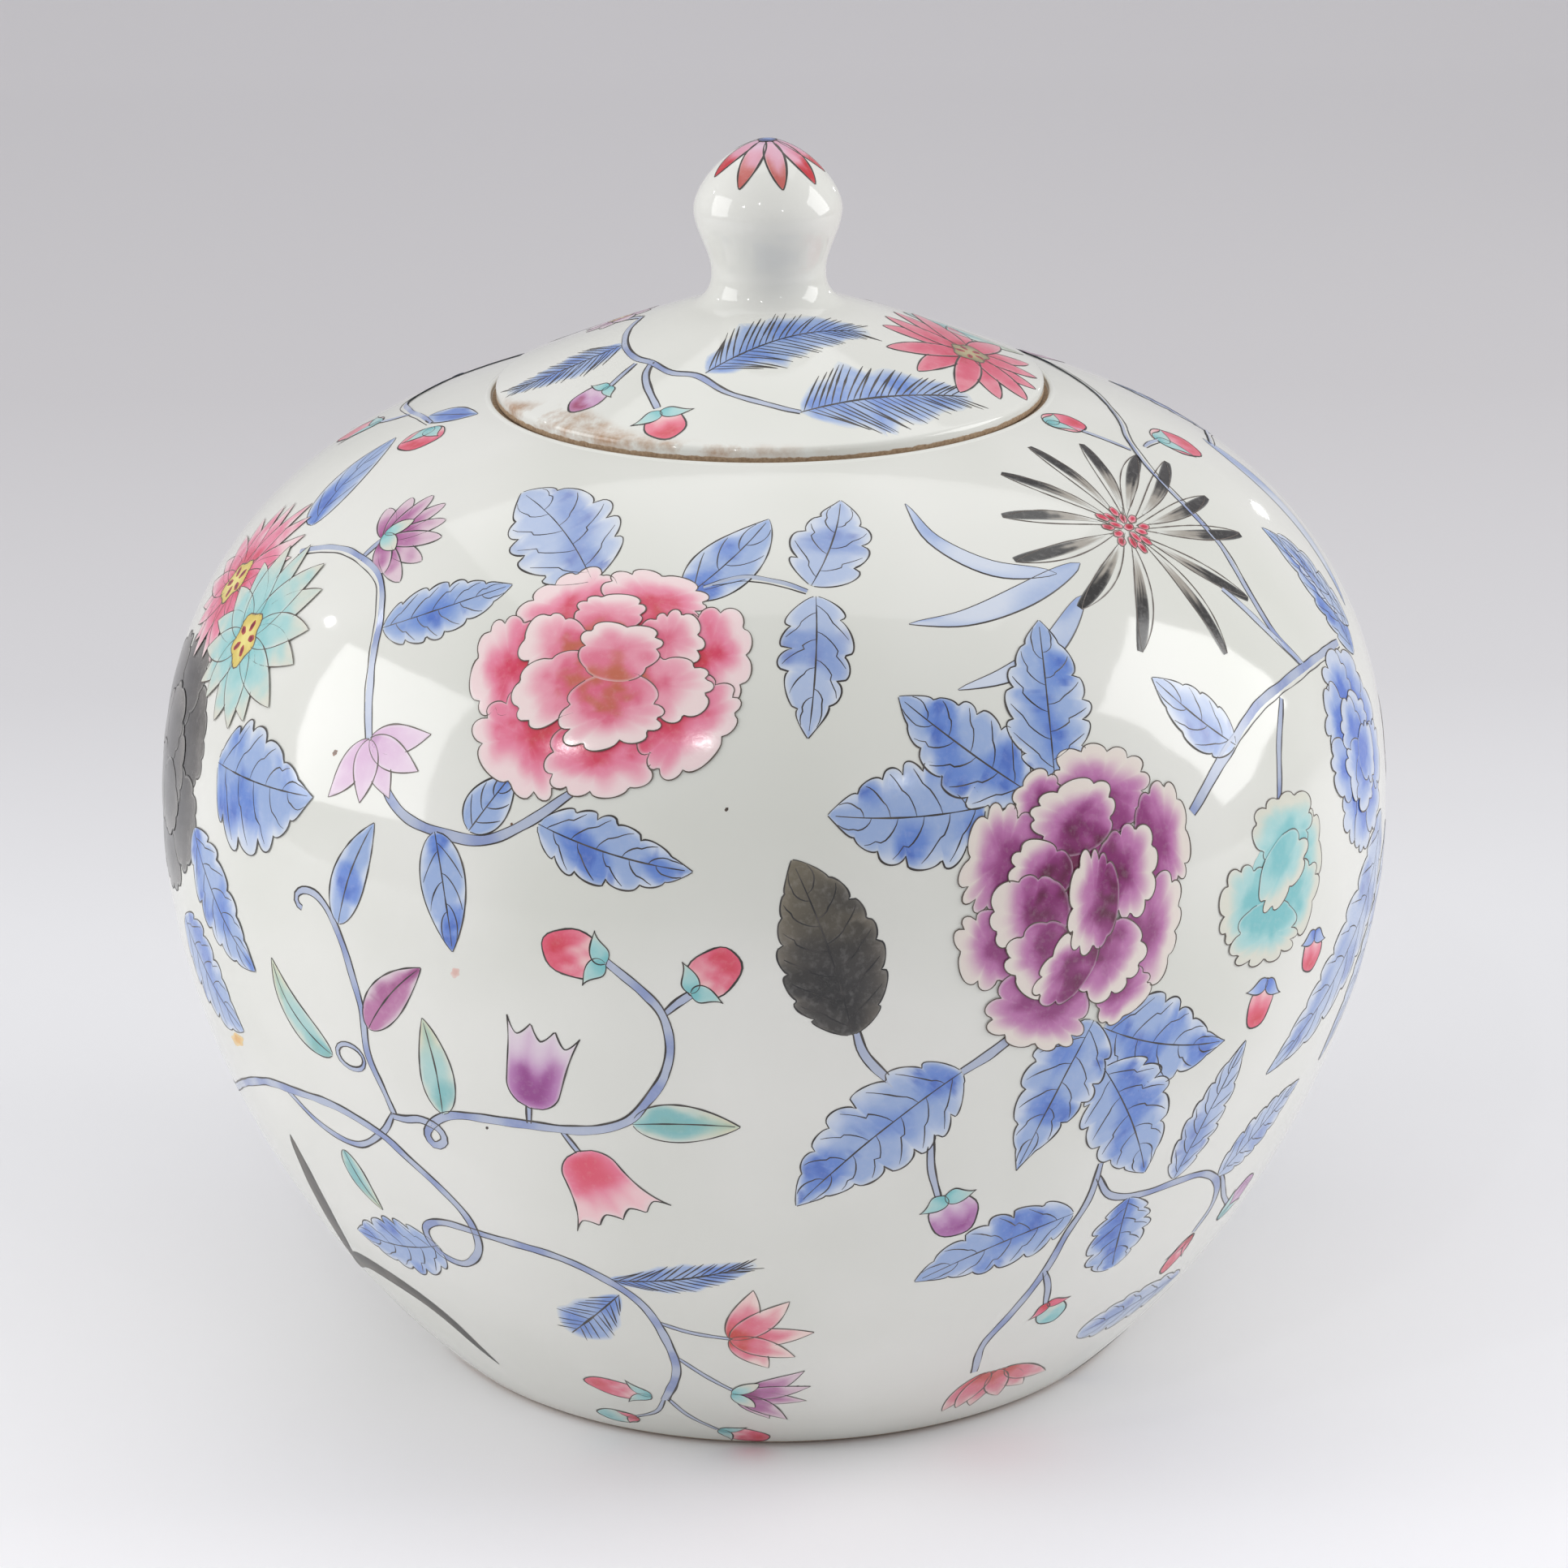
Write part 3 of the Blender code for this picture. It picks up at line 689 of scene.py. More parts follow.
def purplePeony():
    startPlant("purplePeony")
    centre = (26.4, 9.7)
    outer = [((7.3, 16.8), 75, 7.6, 9.4, 9), ((-4.9, 17.2), 125, 4.6, 5.0, 5), ((-13, 8), 155, 7.6, 9.6, 8),
             ((18.8, 6.9), 5, 5.8, 9.0, 8), ((-16.3, -6.9), 190, 6.6, 7.0, 6),
             ((14.3, -9.1), -15, 6.4, 10.2, 8), ((8.6, -19.3), 300, 4.6, 6.0, 5),
             ((-7.3, -19.3), 250, 7.4, 10.0, 8)]
    middle = [((1.2, 12.8), 100, 6.2, 8.2, 7), ((10.6, 2.2), -10, 6.4, 8.2, 7),
              ((-6.1, 5.5), 165, 6.0, 5.2, 5), ((-9, -2.2), 190, 7.4, 7.0, 7),
              ((-6.9, -10.2), 215, 6.6, 6.8, 6), ((5.3, -12), -50, 7.2, 7.6, 7)]
    ruffles(centre, outer, "purple", 4, 50, strength=0.8)
    dab(centre, 0, (0.5, 2), 90, 9, 7, ("#8a2f70", "#64183f"), 12, outline=False)
    ruffles(centre, middle, "purple", 13, 60, glow=0.9)
    ruffle(centre, 0, (-2.4, -12), 140, 4.6, 8.0, "purple", 7, 19, seed=71, glow=0.7)
    ruffle(centre, 0, (3.3, -1.1), 172, 5.0, 9.0, "purple", 8, 20, seed=72, glow=1.0)
    leaf((23, 19), (12, 28.4), 15, bend=-0.06, lobes=6, seed=11, stack=2)
    leaf((18.7, 18.3), (4.6, 18.6), 17, bend=-0.08, lobes=6, seed=12)
    leaf((25.8, 19.8), (29.5, 34), 15, bend=-0.05, lobes=6, seed=13, stack=3)
    leaf((29, -2.6), (43.6, -7.6), 17, bend=0.1, lobes=6, seed=14, wide=0.36)
    leaf((29.4, -6.6), (36.8, -19.8), 17, bend=-0.06, lobes=6, seed=16, stack=2)
    leaf((28, -1.7), (21.8, -15.8), 15, bend=0.06, lobes=6, seed=15, stack=3, wide=0.36)
    stem([(21.5, -1), (18.5, -3), (15.8, -4.5)], 1.7)
    leaf((15.8, -4.5), (1.5, -17.4), 17, bend=0.1, lobes=7, seed=17)
    stem([(13.4, -10.5), (13.6, -14), (14.6, -17.6)], 1.3)
    bud((15.2, -17.4), (17.4, -22.2), 9, "violet", seed=3, spread=72, sepalLong=0.42)
    stem([(6.5, 0.6), (7.4, -2.2), (10, -5.2)], 1.6)
    leaf((6.3, -0.2), (1.4, 15), 17, "charcoal", bend=0.06, lobes=7, depth=0.16, wide=0.44, seed=18,
         tone="black")
    stem([(30.9, -17), (30.6, -21), (29.1, -25.1), (27.9, -29.9), (25.8, -34.9), (23.8, -39.3),
          (24.5, -44.2)], 1.5, heavy=-1)
    stem([(28, -29.6), (29.2, -32), (30, -34.8)], 1.2)
    bud((30.2, -34.6), (32.6, -38), 6, "teal", "red", seed=4, spread=60, sepalLong=0.5)
    leaf((29.2, -22.4), (13.4, -27.8), 13, bend=0.12, lobes=6, depth=0.3, seed=19)
    stem([(31, -18.6), (33.2, -21.4), (37.3, -22.5), (42.2, -22.6), (46.4, -23.2), (50, -25.6), (51.8, -29.2),
          (50.9, -32.3)], 1.5)
    leaf((41.4, -22), (46.7, -8.6), 9.5, "paleBlue", bend=-0.08, lobes=7, seed=20)
    leaf((49.6, -24.6), (60.8, -17.8), 10.5, "paleBlue", bend=-0.1, lobes=7, seed=21)
    leaf((35.8, -22.4), (37.6, -32), 12.5, bend=0.06, lobes=5, depth=0.34, wide=0.55, seed=22)
    stem([(50.4, -24.8), (53.4, -28.4), (56.6, -31)], 1.1)
    bud((56.4, -33), (60.4, -28.6), 7, "violet", seed=5)
    bud((51.2, -32.6), (49.2, -37.4), 5, "red", "red", seed=6, spread=30)
    leaf((57, -40.6), (39, -42.6), 11, "paleBlue", bend=0.1, lobes=6, depth=0.3, wide=0.6, seed=23)
    blade([(59, -50), (56, -52.5), (51, -55.7)], 1.6, kind="paleBlue", seed=5)
    # a flower seen from the side, its narrow petals fanned along the stem's end
    for i, (lon, lat) in enumerate(((23.4, -51.6), (25.5, -51.5), (28, -51.8), (32, -51), (35.5, -50),
                                    (38.4, -48.6))):
        petal((26.4 + 0.6 * i, -44.8), (lon, lat), 4.6, "lily", 0.05, 0.55, 1 + (i % 2), 0.3, "umber", i,
              (0.5, 1.1), pointed=1.15)


def chrysanthemum():
    startPlant("chrysanthemum")
    heart = (49.6, 40.5)
    tips = [(62.6, 51.8), (51.6, 54.4), (39.3, 51.5), (33, 45.5), (30.6, 40), (35.4, 34), (40, 29),
            (50.7, 26.6), (59, 30), (67.7, 35), (69.7, 39.5), (72.6, 44.5), (69, 47)]
    soot, smoke = hexToSrgb("#2b2a29"), hexToSrgb("#a19b91")
    for i, end in enumerate(tips):
        length, turn = aim("globe", heart, end)
        where = seat(heart, turn, 1)
        curl = 0.035 * length * (-1) ** (i // 4)  # how far the petal bows, in metres
        for side in (-1, 1):
            part = np.linspace(0.1, 1, 24)
            out = 1.7 * mm * np.sin(np.pi * ((part - 0.1) / 0.9) ** 1.25) ** 0.8 * side
            line = np.stack([out + 4 * curl * part * (1 - part), part * length], -1)
            inkLine(where, line, 0.22, "umber", 0.4, i)
        # a loaded brush pulled in from the tip: black outside, dry and grey towards the heart
        part = np.linspace(0.22, 1.0, 28)
        across = np.linspace(-1, 1, 9)
        half = 1.25 * mm * np.sin(np.pi * np.clip((part - 0.16) / 0.87, 0, 1) ** 1.7) ** 0.45
        x = half[:, None] * across + (4 * curl * part * (1 - part))[:, None] + 0.45 * mm
        t, s = np.meshgrid(part, across, indexing="ij")
        dry = mottle(s * 4 * mm, t * 0, 1.6 * mm, i) + 0.4 * mottle(t * length, s * mm, 4 * mm, i + 1)
        flat = np.stack([x, t * length], -1)
        colour = blend(glazeTint, smoke, smooth(0.2, 0.45, t + 0.06 * dry))
        colour = blend(colour, soot, smooth(0.48, 0.66, t + 0.08 * dry))
        inside = smooth(1, 0.7, np.abs(s))
        wash(where, flat, blend(glazeTint, colour, 0.55 + 0.45 * inside), inside)
    for i in range(16):
        a = 2.4 * i
        far = 0.9 + 0.95 * math.sqrt(i)
        dab(heart, 0, (far * math.cos(a), far * math.sin(a)), math.degrees(a), 1.25, 0.75,
            ("#e9a9b2", "#c9304a" if i % 3 else "#b01c34"), 2 + i % 3, 0.18, "brown", i)
    for i in range(11):
        a = 0.3 + 0.571 * i
        where = seat(heart, 0, 3)
        sweep = np.linspace(0.3, 1, 6)[:, None] * np.array([[math.cos(a), math.sin(a)]])
        inkLine(where, sweep * 4.6 * mm, 0.18, "brown", 0.3, i)
    blade([(34.8, 37.9), (27, 39.8), (21.6, 44), (20.4, 49.3)], 3.4, seed=1)
    blade([(38.8, 38.4), (29, 36.3), (21.3, 35), (14.8, 35)], 4.2, seed=2)
    blade([(36.5, 35.2), (29.5, 31), (23.7, 29.2), (18.2, 28.4)], 3.8, seed=3)
    stem([(56, 31.5), (59, 26), (62, 21.8)], 1.3, kind="pale")
    stem([(87, 51.5), (80, 50), (73, 48.4), (67, 45), (64.4, 41.5), (62.7, 37), (62, 34.7), (60, 30),
          (59.8, 25.6), (62, 22)], 1.5)
    bud((64.5, 55.8), (71.5, 53.4), 7.5, "red", "teal", seed=8)
    stem([(69.5, 47.6), (68.4, 51), (67.2, 54)], 1.0)
    bud((79, 46.2), (85.5, 42.6), 9, "red", "teal", seed=9)
    stem([(73.5, 46.8), (76, 46.6), (79.2, 46)], 1.0)
    blade([(93.5, 41), (91, 37), (88.6, 31.6), (85.8, 26.6), (82.4, 22)], 7, seed=6)
    leaf((79.4, 21), (76.1, 32.3), 9, "paleBlue", bend=-0.12, lobes=4, depth=0.34, wide=0.55, seed=32)


def tealFlower():
    startPlant("tealFlower")
    stem([(72.4, 21.2), (67, 21.6), (62.3, 21.7), (56, 21.4), (51, 20.6), (45, 18), (39.6, 14.3)], 2.2,
         heavy=-1)
    leaf((46.8, 18.6), (39.4, 26.4), 10, "paleBlue", bend=-0.1, lobes=4, depth=0.16, seed=31)
    stem([(55.8, 20.6), (53, 17), (51, 12)], 1.4)
    centre = (49.6, 5.6)
    dab(centre, 0, (0, -1), 60, 11, 8, ("#a4cfce", "#74bbbf"), 1, outline=False)
    petals = [((10.6, 2.4), 0, 5.4, 7.0, 6), ((3.6, 8.6), 88, 6.0, 9.4, 7), ((7, -5.2), -32, 6.6, 7.0, 6),
              ((-8.4, -1.2), 178, 7.4, 7.0, 7), ((-2.6, -8.8), 262, 5.8, 10, 8),
              ((2.2, 2.2), 300, 5.4, 8.4, 6)]
    ruffles(centre, petals, "teal", 2, 80, scallop=0.24)
    bud((48.7, -3.2), (47.4, -7.6), 7.2, "red", "blue", seed=2, spread=66, sepalLong=0.52)
    bud((56.4, -1), (55.8, -4.8), 7, "red", "blue", seed=3, spread=66, sepalLong=0.52)


def bluePeony():
    startPlant("bluePeony")
    centre = (69, 12)
    wreath(centre, 9, 0.4, (9.6, 13), 6, 6.4, "blue", 5, 2, 90, (0, 1, 2, 3, 4, 0, 1, 2, 3), scallop=0.28)
    wreath(centre, 5, 1.0, (4, 6), 5.4, 5.6, "blue", 5, 7, 190, scallop=0.28)
    leaf((76, 19), (74, 34), 12, bend=0.06, lobes=6, seed=41)
    leaf((76, 4), (51.6, -14), 17, "paleBlue", bend=-0.1, lobes=9, seed=42)
    leaf((82, 1), (66, -18), 14, "paleBlue", bend=-0.08, lobes=9, seed=43)
    leaf((90, 0), (80, -20), 13, "paleBlue", bend=-0.06, lobes=8, seed=44)
    ruffles((88, 6), [((0, 4), 120, 6, 7, 7), ((2, -4), 230, 6, 8, 7), ((7, 0), 10, 6, 8, 7)], "pink", 2, 100)


def lotusBranch():
    startPlant("lotusBranch")
    stem([(-67, 34), (-62, 35.8), (-57, 36.4), (-50, 35.3), (-46, 32), (-44, 28.5), (-42, 24.6), (-40, 20.6)],
         1.7)
    stem([(-55, 36.2), (-54.6, 38.4), (-54, 40)], 1.2)
    tips = [(-59.4, 42), (-57.6, 44.2), (-54.4, 45.4), (-50.6, 45), (-47.6, 43.2), (-45.7, 41.2),
            (-45.6, 38.2), (-46.4, 35.6), (-49.6, 35.9)]
    fan((-54.4, 39), tips, 3.7, "plum", 0.05, 0.62, 0.26, "dark", (0.3, 0.95), 1.05, layers=3)
    for k in ((-52.6, 42), (-51, 38.4)):
        petal((-55, 39.5), k, 3.2, "teal", 0.05, 0.5, 5, 0.24)
    leaf((-44.5, 31), (-31, 38), 11, bend=0.05, lobes=6, seed=51)
    tips = [(-33.4, 23), (-33.8, 19.7), (-36.4, 16.9), (-39.7, 15.9), (-43.6, 15.6)]
    fan((-40.2, 21.4), tips, 5.0, "mauve", 0.08 - 0.04 * np.arange(5), 0.55, 0.26, "umber", (0.1, 1.3), 1.3)
    # the upper left buds, hanging from a vine that comes round from the back
    stem([(-117, 48), (-104, 47), (-95, 48.6), (-87, 50.4), (-81, 51.2)], 1.5)
    bud((-96, 45.4), (-101.5, 40), 7, "red", "teal", seed=12)
    stem([(-92, 49), (-94, 46.8), (-96, 45.4)], 1.0)
    bud((-78.4, 51.4), (-72.6, 48.2), 9, "red", "teal", seed=13)
    leaf((-86, 51.4), (-76, 56), 6.5, bend=0.05, lobes=0, seed=52)
    leaf((-70, 36.6), (-82, 48), 10, bend=-0.06, lobes=0, seed=53)


def leftFlowers():
    startPlant("leftFlowers")
    # a nearly black peony at the side, mostly turned away
    centre = (-77, 10)
    looks = dict(ink=0.3, tone="black", scallop=0.14)
    wreath(centre, 7, 0.5, (16, 16), 9, 9.5, "black", 7, 0, 110, (0, 1, 2, 0, 1, 2, 3), **looks)
    wreath(centre, 5, 0.2, (7, 7), 7, 7.6, "black", 6, 4, 120, (0, 1, 0, 1, 2), **looks)
    daisy((-76.4, 27.8), 17.5, 20, 4.8, "pink", 9, 7, 3, tint=(0.55, 1.05), squash=0.9, skew=0.9)
    daisy((-65, 25), 18, 16, 6.2, "teal", 8.6, 10, 4, tint=(0.5, 1.08), squash=1.1, skew=0.9, pointed=1.15)
    leaf((-61.4, 14.2), (-45.4, 15.2), 21.5, bend=0.05, lobes=6, depth=0.3, wide=0.38, seed=61, stack=7,
         sides=(0.84, 1.16))
    leaf((-65.4, 6.9), (-53.2, -2.8), 14, bend=0.1, lobes=6, seed=62, stack=6)
    leaf((-70, -3), (-58.4, -10.6), 17, bend=0.08, lobes=6, seed=63)
    dab((-61, -12.4), 0.3, (0, 0), 0, 3.4, 1.3, ("#e6c98f", "#e0a94e"), 0, rag=0.12, outline=False)


def tendrils():
    startPlant("tendrils")
    stem([(-45.7, 5.3), (-46.4, 5.6), (-46.4, 6.4), (-45.3, 7), (-43.6, 6.8), (-41.7, 5.2), (-40, 2),
          (-38.6, -2.5), (-38.6, -6.4), (-37.6, -9.4), (-36.7, -12.4)], 1.4)
    ring = [besidePoint((-40.8, -7.5), 3.3 * math.cos(a), 2.4 * math.sin(a)) for a in np.linspace(0, 6.6, 12)]
    stem(ring, 0.9, 1, ink=0.28)
    leaf((-41, 5), (-37.6, 14.6), 7.5, bend=-0.08, lobes=0, seed=71)
    leaf((-38, -4), (-31.8, 3), 7.2, "magenta", bend=-0.1, lobes=0, seed=72)
    leaf((-43.2, -8), (-50.4, -0.6), 6.5, "teal", bend=-0.26, lobes=0, seed=73)
    stem([(-36.8, -12.3), (-39, -15), (-43, -17.5), (-48, -17), (-52.6, -14.6)], 1.3)
    stem([(-72, -22), (-64, -18.2), (-57, -15.4), (-52, -14.4), (-45, -13.8), (-39.6, -15), (-36.6, -17),
          (-33.6, -19.6), (-31.2, -22.8), (-31.2, -26.6), (-34, -29.4), (-37, -28.8), (-37.6, -26),
          (-35, -24.3), (-30.5, -24.4), (-22.6, -25.4), (-17.4, -27.7), (-14, -31), (-12.4, -36),
          (-12.2, -41), (-15, -46.7)], 1.6, 1, ends=0.9)
    leaf((-31, -10.9), (-31.9, -1.6), 7, "teal", bend=0.1, lobes=0, seed=74)
    stem([(-36.9, -12.6), (-35.4, -12.5), (-33.6, -12.1), (-31.8, -12.6), (-31.4, -13.8), (-32.6, -14.6),
          (-33.2, -13.4), (-31.6, -11.6), (-29, -10.6), (-23, -10.3), (-17, -10.1), (-13.2, -8.8),
          (-11.2, -6.6), (-9.6, -4), (-9, -1.2), (-9.6, 1.6), (-11.4, 3.7), (-14.4, 6)], 1.6, 1, ends=0.85)
    bud((-14.4, 5.8), (-20, 7), 8.6, "red", "teal", seed=14, spread=58, sepalLong=0.4)
    stem([(-9.4, 1.7), (-8.2, 2.8), (-6.8, 3.8)], 1.4)
    bud((-7.2, 3.6), (-3.4, 7.2), 8, "red", "teal", seed=15, spread=60, sepalLong=0.42)
    stem([(-22.2, -10.2), (-21.9, -7.6)], 1.0)
    trumpet((-21.9, -8.5), (-23.4, 0.2), (-16.8, -1.2), "violet", 4, 1, narrow=0.66, teeth=0.17)
    leaf((-12.6, -9), (-3.2, -8.8), 7.6, "teal", bend=-0.06, lobes=0, seed=75)
    stem([(-19.2, -10.4), (-18.4, -11.6), (-17.6, -12.8)], 1.0)
    trumpet((-17.9, -12.4), (-19.2, -21.8), (-9.8, -17.4), "rose", 5, 2, narrow=0.5, teeth=0.12)
    leaf((-45.7, -19), (-43.2, -25.4), 5, "teal", bend=0.1, lobes=0, seed=76)
    leaf((-36.8, -27.8), (-51, -30.8), 13, bend=-0.1, lobes=6, depth=0.34, seed=77)
    for route, wide in (([(-56, -21), (-56.6, -27), (-58.6, -34), (-63, -41)], 4.6),
                        ([(-65, -41.5), (-57, -37.5), (-49, -37.6), (-43.5, -40.5), (-40, -47)], 4.4)):
        blade(route, wide, 0, "charcoal", "black", 7, 0.85)
    blade([(-63.6, -45), (-61, -49), (-59, -52)], 1.0, 0, "charcoal", None, 8)
    # dark specks and one rusty spot left by the kiln
    specks = [((-4.2, 19.2), 0.36, "#5b4a3d", "#3a2e27"), ((-26.5, -11.4), 0.34, "#54493f", "#332b26"),
              ((-44, 19.4), 0.6, "#8a6247", "#5f4130"), ((-28.3, 3.2), 1.0, "#dfc9c1", "#d8b3a8"),
              ((31, -4), 0.3, "#5b4a3d", "#3a2e27"), ((2, -43), 0.3, "#5b4a3d", "#3a2e27")]
    for at, size, *shades in specks:
        dab(at, 0, (0, 0), 30, size, size * 0.8, shades, 0, rag=0.12, outline=False)
    feather((-17.4, -27.7), (-2.2, -24.4), 7.6, 0.06, 15, 0, 21, past=0.98, fade=0.2)
    feather((-16.4, -29.6), (-23.6, -36.6), 11.5, 0.0, 10, 0, 22, wide=0.7, past=0.98, fade=0.2)
    stem([(-13.2, -33), (-9.6, -34.3), (-5.4, -35)], 0.9, ink=0.26)
    fromMiddle = 2 - np.arange(5)
    tips = [(-2.6, -27.8), (1.0, -29.4), (3.6, -34), (1.6, -37.8), (-1.4, -39.6)]
    fan((-5.4, -35), tips, 5.2, "lily", 0.04 * fromMiddle, 0.5, 0.28, "umber", (0.4, 0.95), 1.0)
    stem([(-11.6, -38.6), (-8.6, -41.6), (-5.6, -44)], 0.9, ink=0.26)
    tips = [(2.8, -40.2), (3.6, -43), (3.2, -45.8), (0.8, -49.6), (-1.6, -49.4)]
    fan((-5.2, -44.6), tips, 4.4, "plum", 0.03 * fromMiddle, 0.5, 0.28, "dark", (0.4, 0.9), 1.15)
    for k in ((-2.6, -42.4), (-3.4, -47)):
        petal((-6, -44.4), k, 3, "teal", 0, 0.5, 4, 0.24)
    bud((-16.6, -46.2), (-25.4, -45), 6.6, "red", "teal", seed=16, spread=45, sepalLong=0.4)
    bud((-20.6, -51.6), (-27.4, -52.4), 5.6, "teal", "red", seed=17, spread=40, sepalLong=0.4)
    stem([(-15, -46.4), (-17, -49.4), (-20.8, -51.4)], 0.8, ink=0.24)
    stem([(-14.6, -46.2), (-12.6, -49.6), (-9.2, -52.4)], 0.9, ink=0.26)
    bud((-9, -52.4), (-1.8, -54.4), 6, "red", "teal", seed=18, spread=45, sepalLong=0.45)


def lidBranch():
    startPlant("lidBranch", "lid")
    stem([(-98, 76), (-84, 74.6), (-71, 73.4), (-62, 72.6), (-53, 72), (-45, 72), (-34, 71), (-24, 71),
          (-12, 68.4), (2, 66), (7.5, 65)], 1.25, ends=0.7, heavy=1, ink=0.38)
    stem([(-45, 72), (-42, 70), (-37, 68), (-29, 64.8)], 1.3, ends=0.8, ink=0.38)
    stem([(-50.5, 71.2), (-49.6, 69), (-48.4, 66.4)], 1.1)
    feather((-69, 73.2), (-76.4, 59.8), 12, -0.06, 18, 0, 31, wide=0.35, fade=0.3, ink=0.34)
    feather((-22, 71.6), (55, 77), 14.5, -0.1, 22, 0, 32, wide=0.36, fade=0.4, ink=0.34)
    feather((7.5, 65), (54, 62.8), 20, -0.04, 22, 0, 33, wide=0.36, fade=0.4, ink=0.36)
    bud((-48.6, 66.8), (-50.8, 61.6), 6.4, "mauveDark", "teal", seed=19, spread=62, sepalLong=0.36)
    bud((-27.6, 64.4), (-21.4, 60.2), 7.6, "red", "teal", seed=20, spread=72, sepalLong=0.55)
    heart = (81, 67.5)
    tips = [(70, 77), (52, 74), (50, 69), (53, 64), (61, 61), (67.5, 59.2), (76, 59.4), (84, 59.8),
            (94, 60.6), (103, 63.2), (109.5, 68.6), (117, 72), (103, 76), (86, 77.4)]
    bends = 0.04 * (-1) ** np.arange(len(tips))
    fan(heart, tips, 4.8, "crimson", bends, 0.6, 0.36, "dark", (0.35, 1.0), 1.15)
    eye(heart, 7.5, 3, 2, yolk=("#8f8460", "#b5a97c"))
    leaf((112, 74), (104, 60), 8, "teal", bend=0.12, lobes=0, seed=81)
    heart = (-117, 71.4)
    fan(heart, ringOf(heart, 7.4, 0.7), 4.4, "plum", 0.03, 0.6, 0.26, "dark", (0.25, 0.8), 1.1)
    eye(heart, 4.5, 3, 4)
    # the part of the lid that faces away: the same kinds of flower, guessed
    stem([(-98, 76), (-118, 70), (-140, 67), (-160, 66), (178, 65)], 1.9)
    feather((-140, 67), (-122, 60), 8, 0.08, 13, 0, 34)
    feather((178, 65), (152, 62.6), 10, 0.06, 14, 0, 35)
    bud((-160, 66), (-164, 60.5), 8, "red", "teal", seed=23, spread=60)
    heart = (150, 72)
    fan(heart, ringOf(heart, 9, 0.5), 4.6, "mauve", 0.03, 0.6, 0.24, "dark", (0.25, 1.0), 1.1)
    eye(heart, 5.5, 3, 1)


def knobPetals():
    startPlant("knobPetals", "knob")
    ends = [(-66, 37), (-27, 31), (14, 31), (50, 32), (86, 37), (132, 34), (178, 32), (224, 36)]
    for i, (lon, lat) in enumerate(ends):
        kind = "tipRust" if i in (1, 2, 6) else "tipRed"
        petal((lon, 85), (lon, lat), 4.0, kind, 0.03 * (-1) ** i, 0.55, 0.5 * (i % 2), 0.42, "dark", i,
              (0.45, 0.8), pointed=0.95)
    dab((0, 90), 0.0, (0, 0), 0, 1.7, 1.7, ("#4a5480", "#7e92c0"), 3, 0.3, "dark")


